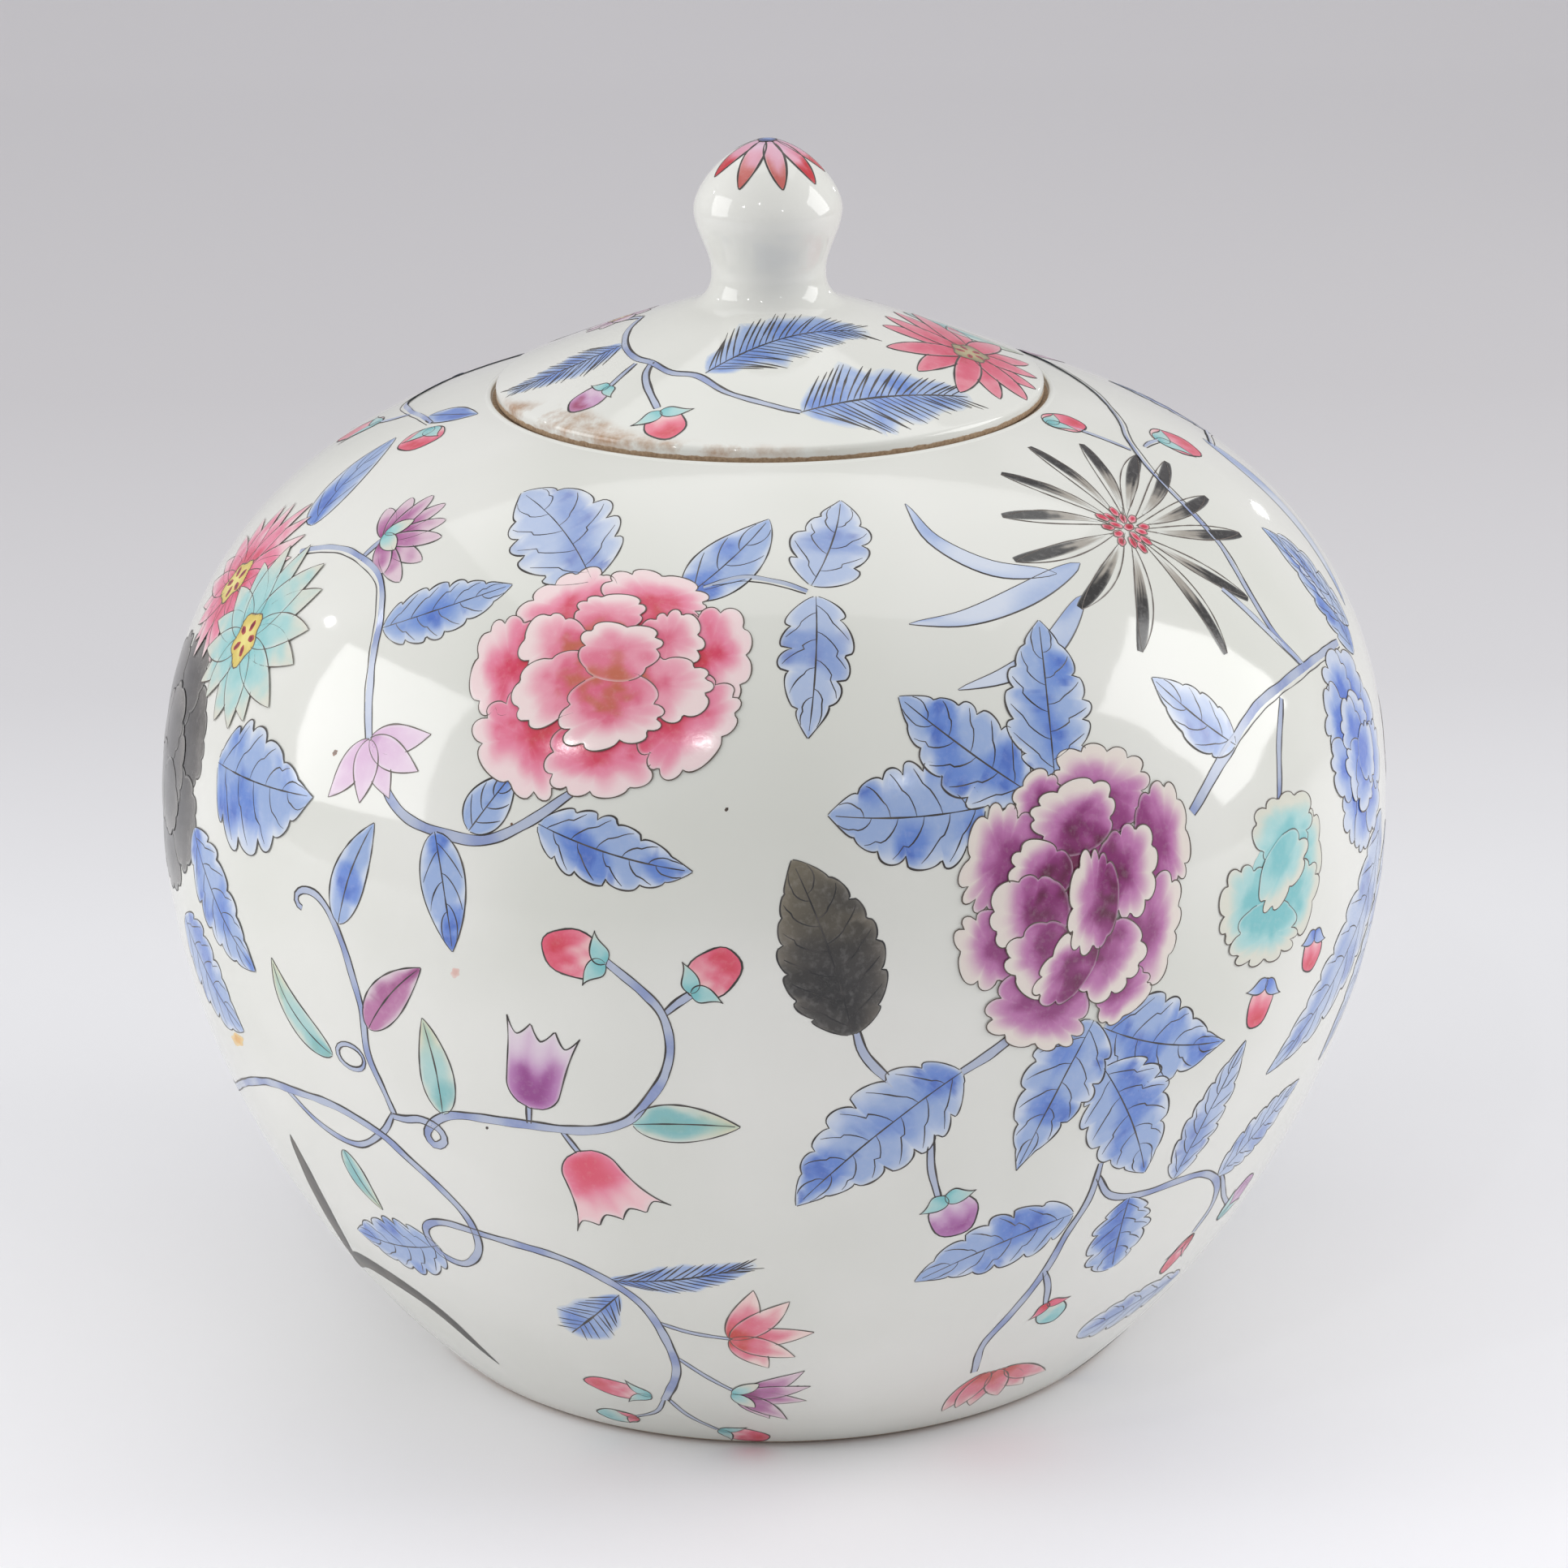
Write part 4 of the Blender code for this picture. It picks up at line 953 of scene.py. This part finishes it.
def backBranches():
    # the jar's far side is guessed: the same plants again, in another order
    startPlant("backBranches")
    stem([(-117, 48), (-128, 44), (-136, 36), (-142, 26), (-146, 16), (-154, 8), (-166, 2), (-178, 0)], 1.9)
    stem([(-142, 26), (-152, 30), (-162, 32), (-171, 31)], 1.5)
    centre = (178, 30)
    wreath(centre, 7, 0.3, (14, 13), 7.4, 8.8, "pink", 8, 2, 130, glow=0.3)
    wreath(centre, 5, 0.9, (6.5, 6), 5.8, 6.6, "pinkPale", 7, 10, 140, glow=0.7)
    ruffle(centre, 0, (0, 1), 90, 4.6, 5.8, "pinkPale", 5, 16, seed=147, glow=0.6)
    for base, tip, wide, bend in (((-172, 40), (-160, 49), 15, 0.08), ((166, 36), (154, 46), 14, -0.08),
                                  ((-176, 18), (-170, 5), 14, 0.06), ((168, 19), (155, 12), 15, 0.08),
                                  ((-146, 17), (-134, 10), 13, 0.08), ((-152, 9), (-150, -4), 12, -0.08),
                                  ((-136, 37), (-124, 30), 13, 0.06), ((-143, 27), (-156, 21), 12, 0.06)):
        leaf(base, tip, wide, bend=bend, lobes=6, seed=150)
    stem([(-128, 44), (-122, 34), (-118.6, 22)], 1.3)
    daisy((-118, 18), 14, 17, 5.4, "plum", 7.5, 1, 6, tint=(0.5, 1.1))
    leaf((-123, 35), (-110, 38), 10, bend=0.08, lobes=5, seed=160)
    leaf((-104, 14), (-92, 4), 12, bend=0.08, lobes=6, seed=161)
    stem([(-96, -20), (-104, -14), (-112, -12), (-122, -16), (-130, -24), (-140, -28), (-152, -26),
          (-162, -20)], 1.6)
    stem([(-122, -16), (-118, -6), (-114, 2)], 1.3)
    bud((-114, 1.4), (-111.6, 6), 8, "violet", seed=35, spread=64, sepalLong=0.45)
    bud((-178, 0), (175, -4.5), 8.4, "red", seed=36, spread=62, sepalLong=0.45)
    leaf((157, -2), (169, -8), 11, bend=-0.1, lobes=6, seed=173)
    # a low spray in the middle of the far side
    stem([(148, -24), (157, -30), (168, -33), (177, -31), (-178, -27)], 1.4)
    tips = [(176, -20.5), (-179.6, -18.8), (-174.6, -19.6), (-171.4, -23), (-171.6, -27.4)]
    bends = 0.05 * (2 - np.arange(5))
    fan((-178.6, -27), tips, 5.6, "lily", bends, 0.5, 0.28, "umber", (0.4, 0.95), 1.0)
    leaf((162, -32), (166, -22), 9, "teal", bend=0.1, lobes=0, seed=174)
    leaf((170, -33), (176, -44), 11, bend=0.1, lobes=6, seed=175)
    leaf((154, -28), (150, -39), 10, bend=-0.1, lobes=6, seed=176)
    bud((-162, -20), (-168, -15), 8.4, "red", "teal", seed=30, spread=60)
    bud((-140, -28), (-142, -36), 7.6, "mauve", "teal", seed=31, spread=60)
    leaf((-112, -12), (-104, -3), 9, "teal", bend=0.1, lobes=0, seed=162)
    leaf((-130, -24), (-124, -34), 10, bend=0.1, lobes=6, seed=163)
    leaf((-152, -26), (-158, -36), 9, "teal", bend=0.1, lobes=0, seed=164)
    trumpet((-104, -15), (-107, -25), (-97, -25), "lily", 5, 5)
    stem([(-72, -22), (-82, -24), (-90, -22), (-96, -20)], 1.5)
    stem([(93, 40), (104, 38), (114, 32), (122, 22), (126, 12), (134, 4), (146, 0), (158, -2)], 1.8)
    stem([(122, 22), (112, 18), (104, 14)], 1.3)
    bud((104.4, 14.2), (99.6, 11.4), 8, "violet", seed=37, spread=64, sepalLong=0.45)
    stem([(114, -36), (107, -30), (103, -22)], 1.3)
    trumpet((103, -22.4), (97, -13.4), (107, -12.6), "rose", 5, 7, narrow=0.5, teeth=0.14)
    leaf((107, -30), (118, -26), 9, "teal", bend=0.1, lobes=0, seed=177)
    leaf((106, 37), (112, 48), 11, bend=-0.08, lobes=5, seed=165)
    leaf((117, 29), (130, 34), 12, bend=-0.08, lobes=6, seed=166)
    leaf((125, 13), (112, 4), 13, bend=0.08, lobes=6, seed=167)
    leaf((134, 4), (130, -9), 12, bend=0.06, lobes=6, seed=168)
    daisy((146, 14), 13.5, 18, 5.2, "teal", 7, 1, 7, tint=(0.5, 1.2))
    centre = (118, -14)
    wreath(centre, 6, 0.5, (9, 9), 6.4, 7.4, "purple", 7, 2, 170, glow=0.5)
    wreath(centre, 3, 0.2, (3, 3), 4.6, 5.4, "purple", 6, 9, 180, glow=0.9)
    stem([(146, -1), (150, -12), (148, -24), (140, -32), (128, -36), (112, -36), (98, -32)], 1.6)
    bud((98, -32), (91, -30), 8, "red", "teal", seed=32, spread=60)
    leaf((140, -32), (134, -42), 10, bend=0.08, lobes=6, seed=169)
    leaf((150, -12), (162, -16), 10, "teal", bend=0.1, lobes=0, seed=170)
    feather((128, -36), (116, -46), 8, 0.06, 12, 0, 41)
    leaf((-171, 31), (-158, 24), 9, "teal", bend=0.1, lobes=0, seed=171)
    bud((-162, 50), (-168, 44), 8, "red", "teal", seed=33)
    stem([(-117, 48), (-134, 54), (-150, 54), (-162, 50)], 1.3)
    stem([(87, 51.5), (94, 52.6), (106, 54), (122, 54), (138, 52), (148, 47)], 1.4)
    bud((138, 52), (141, 45.5), 8, "mauve", "teal", seed=34)
    leaf((122, 54), (131, 46), 8, "magenta", bend=0.08, lobes=0, seed=172)


# sizes and colours of the clay itself
clay = dict(glaze="#e3e3dd", glazeShade="#d8d9d1", biscuit="#b39a7e", biscuitDark="#8a6f55",
            speck="#6b4a36", rust="#a9815c", dust="#c9b498", glazeGloss=0.07, biscuitRough=0.85,
            orangePeel=0.012 * mm, grit=0.06 * mm, jarSegments=360, lidSegments=256, knobSegments=128)
enamelCoat = dict(grain=1.1 * mm, pale="#e6e3df", paleShare=0.11, smoothest=0.08, roughest=0.22,
                  relief=0.014 * mm)
inkCoat = dict(load=5 * mm, dry="#8d847c", dryShare=0.3, roughness=0.34)


def revolve(profile, segments):
    # a profile of (r, z) points carried round the axis; an end on the axis becomes a single point
    r, z = profile[:, 0], profile[:, 1]
    turn = np.linspace(0, 2 * np.pi, segments, endpoint=False)
    body = profile[(r > 1e-6)]
    points = np.stack([body[:, :1] * np.cos(turn), body[:, :1] * np.sin(turn),
                       np.broadcast_to(body[:, 1:], (len(body), segments))], -1).reshape(-1, 3)
    index = np.arange(len(body) * segments).reshape(len(body), segments)
    after = np.roll(index, -1, 1)
    quads = np.stack([index[:-1], index[1:], after[1:], after[:-1]], -1).reshape(-1, 4)
    faces = quads.tolist()
    for end, ring, flip in ((0, index[0], False), (-1, index[-1], True)):
        if r[end] <= 1e-6:
            pole = len(points)
            points = np.concatenate([points, [[0, 0, z[end]]]])
            fan = np.stack([ring, np.roll(ring, -1), np.full(segments, pole)], -1)
            faces += (fan[:, ::-1] if flip else fan).tolist()
    return points, faces


def meshObject(name, points, faces, attributes, material, sharp=None):
    mesh = bpy.data.meshes.new(name)
    mesh.from_pydata(points, [], faces)
    for key, values in attributes.items():
        if values.ndim == 1:
            mesh.attributes.new(key, "FLOAT", "POINT").data.foreach_set("value", values.astype(np.float32))
        else:
            rgba = np.concatenate([values, np.ones((len(values), 1))], 1).astype(np.float32)
            mesh.attributes.new(key, "FLOAT_COLOR", "POINT").data.foreach_set("color", rgba.ravel())
    mesh.materials.append(material)
    mesh.polygons.foreach_set("use_smooth", np.ones(len(mesh.polygons), bool))
    if sharp:
        mesh.set_sharp_from_angle(angle=math.radians(sharp))
    mesh.update()
    obj = bpy.data.objects.new(name, mesh)
    bpy.context.scene.collection.objects.link(obj)
    return obj


def along(points, gap):  # points added so that no step of a profile is longer than gap
    out = [points[:1]]
    for a, b in zip(points[:-1], points[1:]):
        count = max(int(math.ceil(np.hypot(*(b - a)) / gap)), 1)
        out.append(a + (b - a) * np.linspace(0, 1, count + 1)[1:, None])
    return np.concatenate(out)


def rounded(corners, radius, count=5):
    # a chain of corners with each inner corner cut to a quadratic curve of about the given radius
    corners = np.array(corners, float)
    out = [corners[:1]]
    for a, b, c in zip(corners[:-2], corners[1:-1], corners[2:]):
        reachIn = min(radius, np.hypot(*(a - b)) * 0.45)
        reachOut = min(radius, np.hypot(*(c - b)) * 0.45)
        start = b + (a - b) / np.hypot(*(a - b)) * reachIn
        end = b + (c - b) / np.hypot(*(c - b)) * reachOut
        t = np.linspace(0, 1, count)[:, None]
        out.append((1 - t) ** 2 * start + 2 * t * (1 - t) * b + t ** 2 * end)
    out.append(corners[-1:])
    return np.concatenate(out)


def jarProfile():
    # from the middle of the floor, up inside, over the lip, down outside, round the foot to the middle again
    outer = globeOuter(130)
    tangent = np.gradient(outer, axis=0)
    tangent /= np.hypot(tangent[:, 0], tangent[:, 1])[:, None]
    inner = (outer + np.stack([tangent[:, 1], -tangent[:, 0]], 1) * mouth["wall"])[::-1]
    collarLow = mouth["ledge"] - mouth["collar"]
    inner = inner[(inner[:, 1] > foot["floor"] * 2) & (inner[:, 1] < collarLow)][::2]
    sweep = arc(inner[0, 0] - foot["floor"] - 1.5 * mm, foot["floor"] * 2, foot["floor"], -np.pi / 2,
                -np.pi / 8, 9)
    floor = along(np.array([[0.0, foot["floor"]], sweep[0]]), 6 * mm)[:-1]
    ledge, bore = mouth["ledge"], mouth["bore"]
    lipTop = ledge + mouth["ledgeDrop"]
    rim = rounded([inner[-1], (bore + 1.5 * mm, collarLow), (bore, collarLow + 1.5 * mm), (bore, ledge),
                   (mouth["lipInner"], ledge), (mouth["lipInner"], lipTop),
                   (mouth["lipOuter"] - 0.4 * mm, lipTop + 0.1 * mm), outer[0]], 0.4 * mm)
    ring = rounded([outer[-1], (foot["outer"], 0.0), (foot["inner"], 0.0),
                    (foot["inner"] - 1 * mm, foot["recess"] - 1 * mm),
                    (foot["inner"] - 4 * mm, foot["recess"] + 0.1 * mm), (0.0, foot["recess"] + 1 * mm)],
                   0.7 * mm)
    return np.concatenate([floor, sweep, inner[:-1], rim, outer[1:-1], along(ring, 6 * mm)])


def lidProfile():
    top, low, r = lid["top"], lid["bottom"], lid["radius"]
    s = math.tan(lid["slope"])
    land = r - lid["land"]
    shoulder = low + lid["edge"] + lid["edgeRound"] * math.cos(lid["slope"])
    underEdge = shoulder + s * (r - lid["edgeRound"] - land) - lid["thick"]
    ceiling = top - lid["crown"]
    ceilingRadius = land - (ceiling - underEdge) / s
    under = rounded([(r, low + lid["edge"]), (r, low), (land, low), (land, underEdge),
                     (ceilingRadius, ceiling), (0.0, ceiling)], 0.35 * mm)
    # the neck's flat top is hidden under the knob
    return np.concatenate([[[0.0, top]], along(lidOuter(46), 3 * mm), along(under[1:], 3 * mm)])


def knobProfile():
    outer = knobOuter(34)
    # the glaze runs on over the joint, down to the neck of the lid
    low = lid["top"] - 0.12 * mm
    base = [(knob["neck"] + 0.02 * mm, lid["top"] - 0.1 * mm), (knob["neck"] - 0.6 * mm, low), (0.0, low)]
    return np.concatenate([outer, base])


def flangeProfile():
    out, low = flangeHigh[0], flangeLow[2]
    inn = out - 3.4 * mm
    loop = rounded([(out, flangeHigh[2]), (out, low), (inn, low), (inn, flangeHigh[2])], 1.1 * mm, 6)
    return along(loop, 2 * mm)


nodeKinds = dict(out="OutputMaterial", principled="BsdfPrincipled", coords="TexCoord", noise="TexNoise",
                 voronoi="TexVoronoi", mix="Mix", ramp="ValToRGB", range="MapRange", bump="Bump", math="Math",
                 attribute="Attribute", split="SeparateXYZ")


def addNode(material, kind, settings=None, **links):
    # one node: settings go to properties or sockets by name, links to sockets
    node = material.node_tree.nodes.new("ShaderNode" + nodeKinds[kind])
    for key, value in (settings or {}).items():
        if isinstance(key, str) and hasattr(node, key):
            setattr(node, key, value)
        else:
            node.inputs[key].default_value = value
    for key, source in links.items():
        name = key.replace("_", " ")
        target = node.inputs[int(name[1:])] if name[0] == "s" and name[1:].isdigit() else node.inputs[name]
        material.node_tree.links.new(source, target)
    return node


def newMaterial(name):
    material = bpy.data.materials.new(name)
    material.use_nodes = True
    material.node_tree.nodes.clear()
    return material


def whereOn(m):  # the place on the object
    return addNode(m, "coords").outputs["Object"]


def stored(m, name, output):  # a value kept on the mesh
    return addNode(m, "attribute", {"attribute_name": name}).outputs[output]


def grains(m, place, size, detail, rough=0.5):  # a noise whose patches are about size metres across
    settings = {"Scale": 1 / size, "Detail": detail, "Roughness": rough}
    return addNode(m, "noise", settings, Vector=place).outputs[0]


def carried(m, value, low, high, toLow=0.0, toHigh=1.0):  # low to high becomes toLow to toHigh
    spans = {"From Min": low, "From Max": high, "To Min": toLow, "To Max": toHigh}
    return addNode(m, "range", spans, Value=value).outputs[0]


def times(m, first, second):
    return addNode(m, "math", {"operation": "MULTIPLY"}, s0=first, s1=second).outputs[0]


def plusShare(m, value, share, base):  # base + share * value
    return addNode(m, "math", {"operation": "MULTIPLY_ADD", 1: share}, s0=value, s2=base).outputs[0]


def mixed(m, share, first, second):  # two colours, each a socket or "#rrggbb"
    given = {6: first, 7: second}
    texts = {key: hexColour(value) for key, value in given.items() if isinstance(value, str)}
    sockets = {"s%d" % key: value for key, value in given.items() if not isinstance(value, str)}
    return addNode(m, "mix", {"data_type": "RGBA", **texts}, Factor=share, **sockets).outputs[2]


def raised(m, height, depth):
    return addNode(m, "bump", {"Strength": 1.0, "Distance": depth}, Height=height).outputs[0]


def coated(m, settings, **links):  # the shader and the output that end a material
    addNode(m, "out", None, Surface=addNode(m, "principled", settings, **links).outputs[0])
    return m


def glazedPorcelain():
    # hard-paste porcelain under a clear, faintly green glaze: glossy, slightly uneven, bare where wiped
    m = newMaterial("glazedPorcelain")
    place = whereOn(m)
    cloud = grains(m, place, 0.06, 2.0)
    tint = mixed(m, carried(m, cloud, 0.35, 0.62), clay["glazeShade"], clay["glaze"])
    # a few specks from firing on the whole jar, about half a millimetre across
    pits = addNode(m, "voronoi", {"Scale": 1 / 0.011, "Randomness": 1.0}, Vector=place)
    near = carried(m, pits.outputs["Distance"], 0.030, 0.016)
    chosen = addNode(m, "split", None, Vector=pits.outputs["Color"]).outputs[0]
    dotted = mixed(m, times(m, near, carried(m, chosen, 0.90, 0.93)), tint, clay["speck"])
    # unglazed clay, its grit about 0.6 mm, where the attribute bare is 1
    ragged = grains(m, place, 0.0018, 3.0, 0.6)
    bare = carried(m, plusShare(m, ragged, 0.5, stored(m, "bare", "Fac")), 0.70, 0.80)
    grit = grains(m, place, 0.0006, 4.0, 0.7)
    biscuit = mixed(m, carried(m, grit, 0.3, 0.6), clay["biscuitDark"], clay["biscuit"])
    # rust-brown stain soaked in beside the lid's edge, where the attribute stain is above 0
    blotch = carried(m, grains(m, place, 0.009, 5.0, 0.65), 0.42, 0.66)
    browned = mixed(m, times(m, stored(m, "stain", "Fac"), blotch), dotted, clay["rust"])
    colour = mixed(m, bare, browned, biscuit)
    rough = carried(m, bare, 0.0, 1.0, clay["glazeGloss"], clay["biscuitRough"])
    # orange peel about 4 mm across and a hundredth of a millimetre deep, with grit where the clay is bare
    peel = grains(m, place, 0.004, 1.0)
    height = addNode(m, "math", {"operation": "MULTIPLY_ADD"}, s0=grit, s1=bare, s2=peel).outputs[0]
    bump = raised(m, height, clay["orangePeel"])
    return coated(m, {"IOR": 1.5}, Base_Color=colour, Roughness=rough, Normal=bump)


def bareClay():
    # unglazed fired clay: dry, pinkish brown, with a grit of about half a millimetre
    m = newMaterial("bareClay")
    place = whereOn(m)
    grit = grains(m, place, 0.0006, 4.0, 0.7)
    both = plusShare(m, grit, 0.6, grains(m, place, 0.014, 3.0))
    colour = mixed(m, carried(m, both, 0.55, 1.0), clay["biscuitDark"], clay["dust"])
    return coated(m, {"Roughness": 0.86, "IOR": 1.5}, Base_Color=colour, Normal=raised(m, grit, clay["grit"]))


def overglazeEnamel():
    # lead-glass enamel fused on the glaze: softer gloss, crawled surface that breaks highlights into sparkle
    m = newMaterial("overglazeEnamel")
    grain = grains(m, whereOn(m), enamelCoat["grain"], 3.0, 0.6)
    pale = carried(m, grain, 0.5, 0.85, 0.0, enamelCoat["paleShare"])
    colour = mixed(m, pale, stored(m, "paint", "Color"), enamelCoat["pale"])
    rough = carried(m, grain, 0.0, 1.0, enamelCoat["smoothest"], enamelCoat["roughest"])
    bump = raised(m, grain, enamelCoat["relief"])
    return coated(m, {"IOR": 1.55}, Base_Color=colour, Roughness=rough, Normal=bump)


def brushedInk():
    # iron-brown outline colour, brushed on dry: darker where the brush was full
    m = newMaterial("brushedInk")
    dry = carried(m, grains(m, whereOn(m), inkCoat["load"], 2.0), 0.45, 0.75, 0.0, inkCoat["dryShare"])
    colour = mixed(m, dry, stored(m, "paint", "Color"), inkCoat["dry"])
    return coated(m, {"Roughness": inkCoat["roughness"], "IOR": 1.5}, Base_Color=colour)


def makeShells(porcelain, biscuit):
    points, faces = revolve(jarProfile(), clay["jarSegments"])
    r, z = np.hypot(points[:, 0], points[:, 1]), points[:, 2]
    # bare on the foot ring's underside and on the ledge that the lid sits on
    footRing = smooth(1.4 * mm, 0.5 * mm, z) * smooth(foot["inner"] - 2.5 * mm, foot["inner"] - 1 * mm, r)
    ledge = smooth(0.35 * mm, 0.1 * mm, np.abs(z - mouth["ledge"])) * (r < mouth["lipInner"] - 0.2 * mm)
    bare = np.maximum(footRing, ledge)
    jar = meshObject("jarShell", points, faces, dict(bare=bare, stain=bare * 0), porcelain, 40)
    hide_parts("jar_body")
    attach(jar, "jar")

    points, faces = revolve(lidProfile(), clay["lidSegments"])
    r, z = np.hypot(points[:, 0], points[:, 1]), points[:, 2]
    lon = np.degrees(np.arctan2(points[:, 0], -points[:, 1]))
    bare = smooth(lid["bottom"] + lid["edge"], lid["bottom"] + lid["edge"] - 0.4 * mm, z)
    bare *= r > lid["radius"] - lid["land"] - 1 * mm
    # the stain climbs furthest at longitude -50 and a little at -14
    climb, little = 6.5 * mm * np.exp(-((lon + 50) / 18) ** 2), 2.4 * mm * np.exp(-((lon + 14) / 24) ** 2)
    stain = smooth(0, 2.5 * mm, r - (lid["radius"] - climb - little))
    stain *= smooth(lid["bottom"], lid["bottom"] + 1 * mm, z)
    cover = meshObject("lidShell", points, faces, dict(bare=bare, stain=stain), porcelain, 40)
    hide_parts("lid_dome")
    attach(cover, "lid")

    points, faces = revolve(knobProfile(), clay["knobSegments"])
    nowhere = np.zeros(len(points))
    handle = meshObject("knobShell", points, faces, dict(bare=nowhere, stain=nowhere), porcelain, 50)
    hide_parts("finial")
    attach(handle, "lid")

    loop = flangeProfile()
    segments = clay["lidSegments"]
    points, faces = revolve(loop, segments)
    first, last = np.arange(segments), np.arange(segments) + (len(loop) - 1) * segments
    faces += np.stack([last, first, np.roll(first, -1), np.roll(last, -1)], -1).tolist()
    ring = meshObject("flangeRing", points, faces, {}, biscuit, 45)
    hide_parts("lid_flange")
    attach(ring, "lid")
    print("clay shells made")


def makePaint(enamel, ink):
    total = 0
    for name, piece in paint.items():
        points = np.concatenate(piece["points"])
        colours = np.concatenate(piece["colours"])
        material = ink if name.endswith("Ink") else enamel
        obj = meshObject(name, points, piece["faces"], dict(paint=colours), material)
        onJar = piece["surface"] == "globe"
        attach(obj, "jar" if onJar else "lid")
        triangles = 2 * len(piece["faces"])
        total += triangles
        print("  ", name, triangles, "triangles")
    print("paint", total, "triangles in", len(paint), "pieces")


# camera: 0.92 m from the middle of the jar, 19.2 degrees above level, turned a little about its own line
view = dict(aim=(0, 0, 0.1045), distance=0.92, above=19.19, roll=-0.63, lens=111.5, shiftX=0.0062)


def makeCamera():
    tilt = math.radians(view["above"])
    data = bpy.data.cameras.new("camera")
    data.lens, data.sensor_width = view["lens"], 36
    data.shift_x = view["shiftX"]
    data.clip_start, data.clip_end = 0.05, 20
    camera = bpy.data.objects.new("camera", data)
    back = Vector((0, -view["distance"] * math.cos(tilt), view["distance"] * math.sin(tilt)))
    place = back + Vector(view["aim"])
    turn = Matrix.Rotation(math.pi / 2 - tilt, 4, "X") @ Matrix.Rotation(math.radians(view["roll"]), 4, "Z")
    camera.matrix_world = Matrix.Translation(place) @ turn
    bpy.context.scene.collection.objects.link(camera)
    bpy.context.scene.camera = camera


studio = dict(
    world="#cbcbcd", worldPower=0.95,
    # painted shade on the paper, by depth: bright in front of the jar, darker behind it, paler again towards
    # the bend
    paperShading=((0.10, "#f9f8fa"), (0.17, "#e9e9eb"), (0.25, "#e1e1e3"), (0.34, "#d5d4d6"), (0.50, "#d5d3d5"),
           (0.78, "#e7e5e7")),
    lights=dict(
        leftBox=dict(at=(-0.97, -0.12, 0.49), size=(0.60, 0.60), spin=15, power=4.0),
        rightBox=dict(at=(0.95, 0.03, 0.50), size=(0.50, 0.68), spin=18, power=4.3),
        overhead=dict(at=(0.0, 0.30, 1.15), size=(1.3, 0.9), spin=0, power=3.4),
        spotA=dict(at=(-0.60, -0.65, 0.76), size=(0.03, 0.03), spin=0, power=0.30),
        spotB=dict(at=(-0.21, -0.76, 0.88), size=(0.03, 0.03), spin=0, power=0.25),
        spotC=dict(at=(0.39, -0.86, 0.68), size=(0.03, 0.03), spin=0, power=0.08),
        spotD=dict(at=(-0.85, 0.37, 0.63), size=(0.03, 0.03), spin=0, power=0.08),
        spotE=dict(at=(0.53, 0.87, 0.29), size=(0.03, 0.03), spin=0, power=0.05)))
sweep = dict(front=-2.5, bend=1.2, back=2.4, top=3.0, halfWidth=3, columns=9)  # the paper, in metres


def makeStudio():
    world = bpy.data.worlds.new("studioAir")
    world.use_nodes = True
    world.node_tree.nodes["Background"].inputs[0].default_value = hexColour(studio["world"])
    world.node_tree.nodes["Background"].inputs[1].default_value = studio["worldPower"]
    bpy.context.scene.world = world
    for name, light in studio["lights"].items():
        data = bpy.data.lights.new(name, "AREA")
        data.shape = "RECTANGLE"
        data.size, data.size_y = light["size"]
        data.energy = light["power"]
        lamp = bpy.data.objects.new(name, data)
        place = Vector(light["at"])
        turn = (Vector((0, 0, 0.1)) - place).to_track_quat("-Z", "Y").to_matrix().to_4x4()
        spin = Matrix.Rotation(math.radians(light["spin"]), 4, "Z")
        lamp.matrix_world = Matrix.Translation(place) @ turn @ spin
        bpy.context.scene.collection.objects.link(lamp)
    # floor that curves up into a backdrop; its colour is painted shade graded by depth: bright in front,
    # darkest behind the jar, paler towards the bend
    m = newMaterial("paperSweep")
    depth = addNode(m, "split", None, Vector=whereOn(m)).outputs[1]
    ramp = addNode(m, "ramp", None, Fac=carried(m, depth, -0.3, 1.7))
    for share, shade in studio["paperShading"]:
        stop = ramp.color_ramp.elements.new(share)
        stop.color = hexColour(shade)
    ramp.color_ramp.elements.remove(ramp.color_ramp.elements[0])
    ramp.color_ramp.elements.remove(ramp.color_ramp.elements[-1])
    coated(m, {"Roughness": 0.9, "Specular IOR Level": 0.1}, Base_Color=ramp.outputs[0])
    bend, columns = sweep["bend"], sweep["columns"]
    line = np.concatenate([[[sweep["front"], 0.0]], arc(bend, bend, bend, -np.pi / 2, 0, 24),
                           [[sweep["back"], sweep["top"]]]])
    across = np.linspace(-sweep["halfWidth"], sweep["halfWidth"], columns)
    points = np.stack([np.broadcast_to(across, (len(line), columns)), np.repeat(line[:, :1], columns, 1),
                       np.repeat(line[:, 1:], columns, 1)], -1).reshape(-1, 3)
    index = np.arange(len(points)).reshape(-1, columns)
    faces = np.stack([index[:-1, :-1], index[:-1, 1:], index[1:, 1:], index[1:, :-1]], -1).reshape(-1, 4)
    meshObject("paperSweep", points, faces.tolist(), {}, m)
    bpy.context.scene.view_settings.view_transform = "Standard"
    print("camera, lights and paper sweep made")


makeCamera()
makeStudio()
makeShells(glazedPorcelain(), bareClay())
for plant in (pinkPeony, purplePeony, chrysanthemum, tealFlower, bluePeony, lotusBranch, leftFlowers,
              tendrils, lidBranch, knobPetals, backBranches):
    plant()
makePaint(overglazeEnamel(), brushedInk())
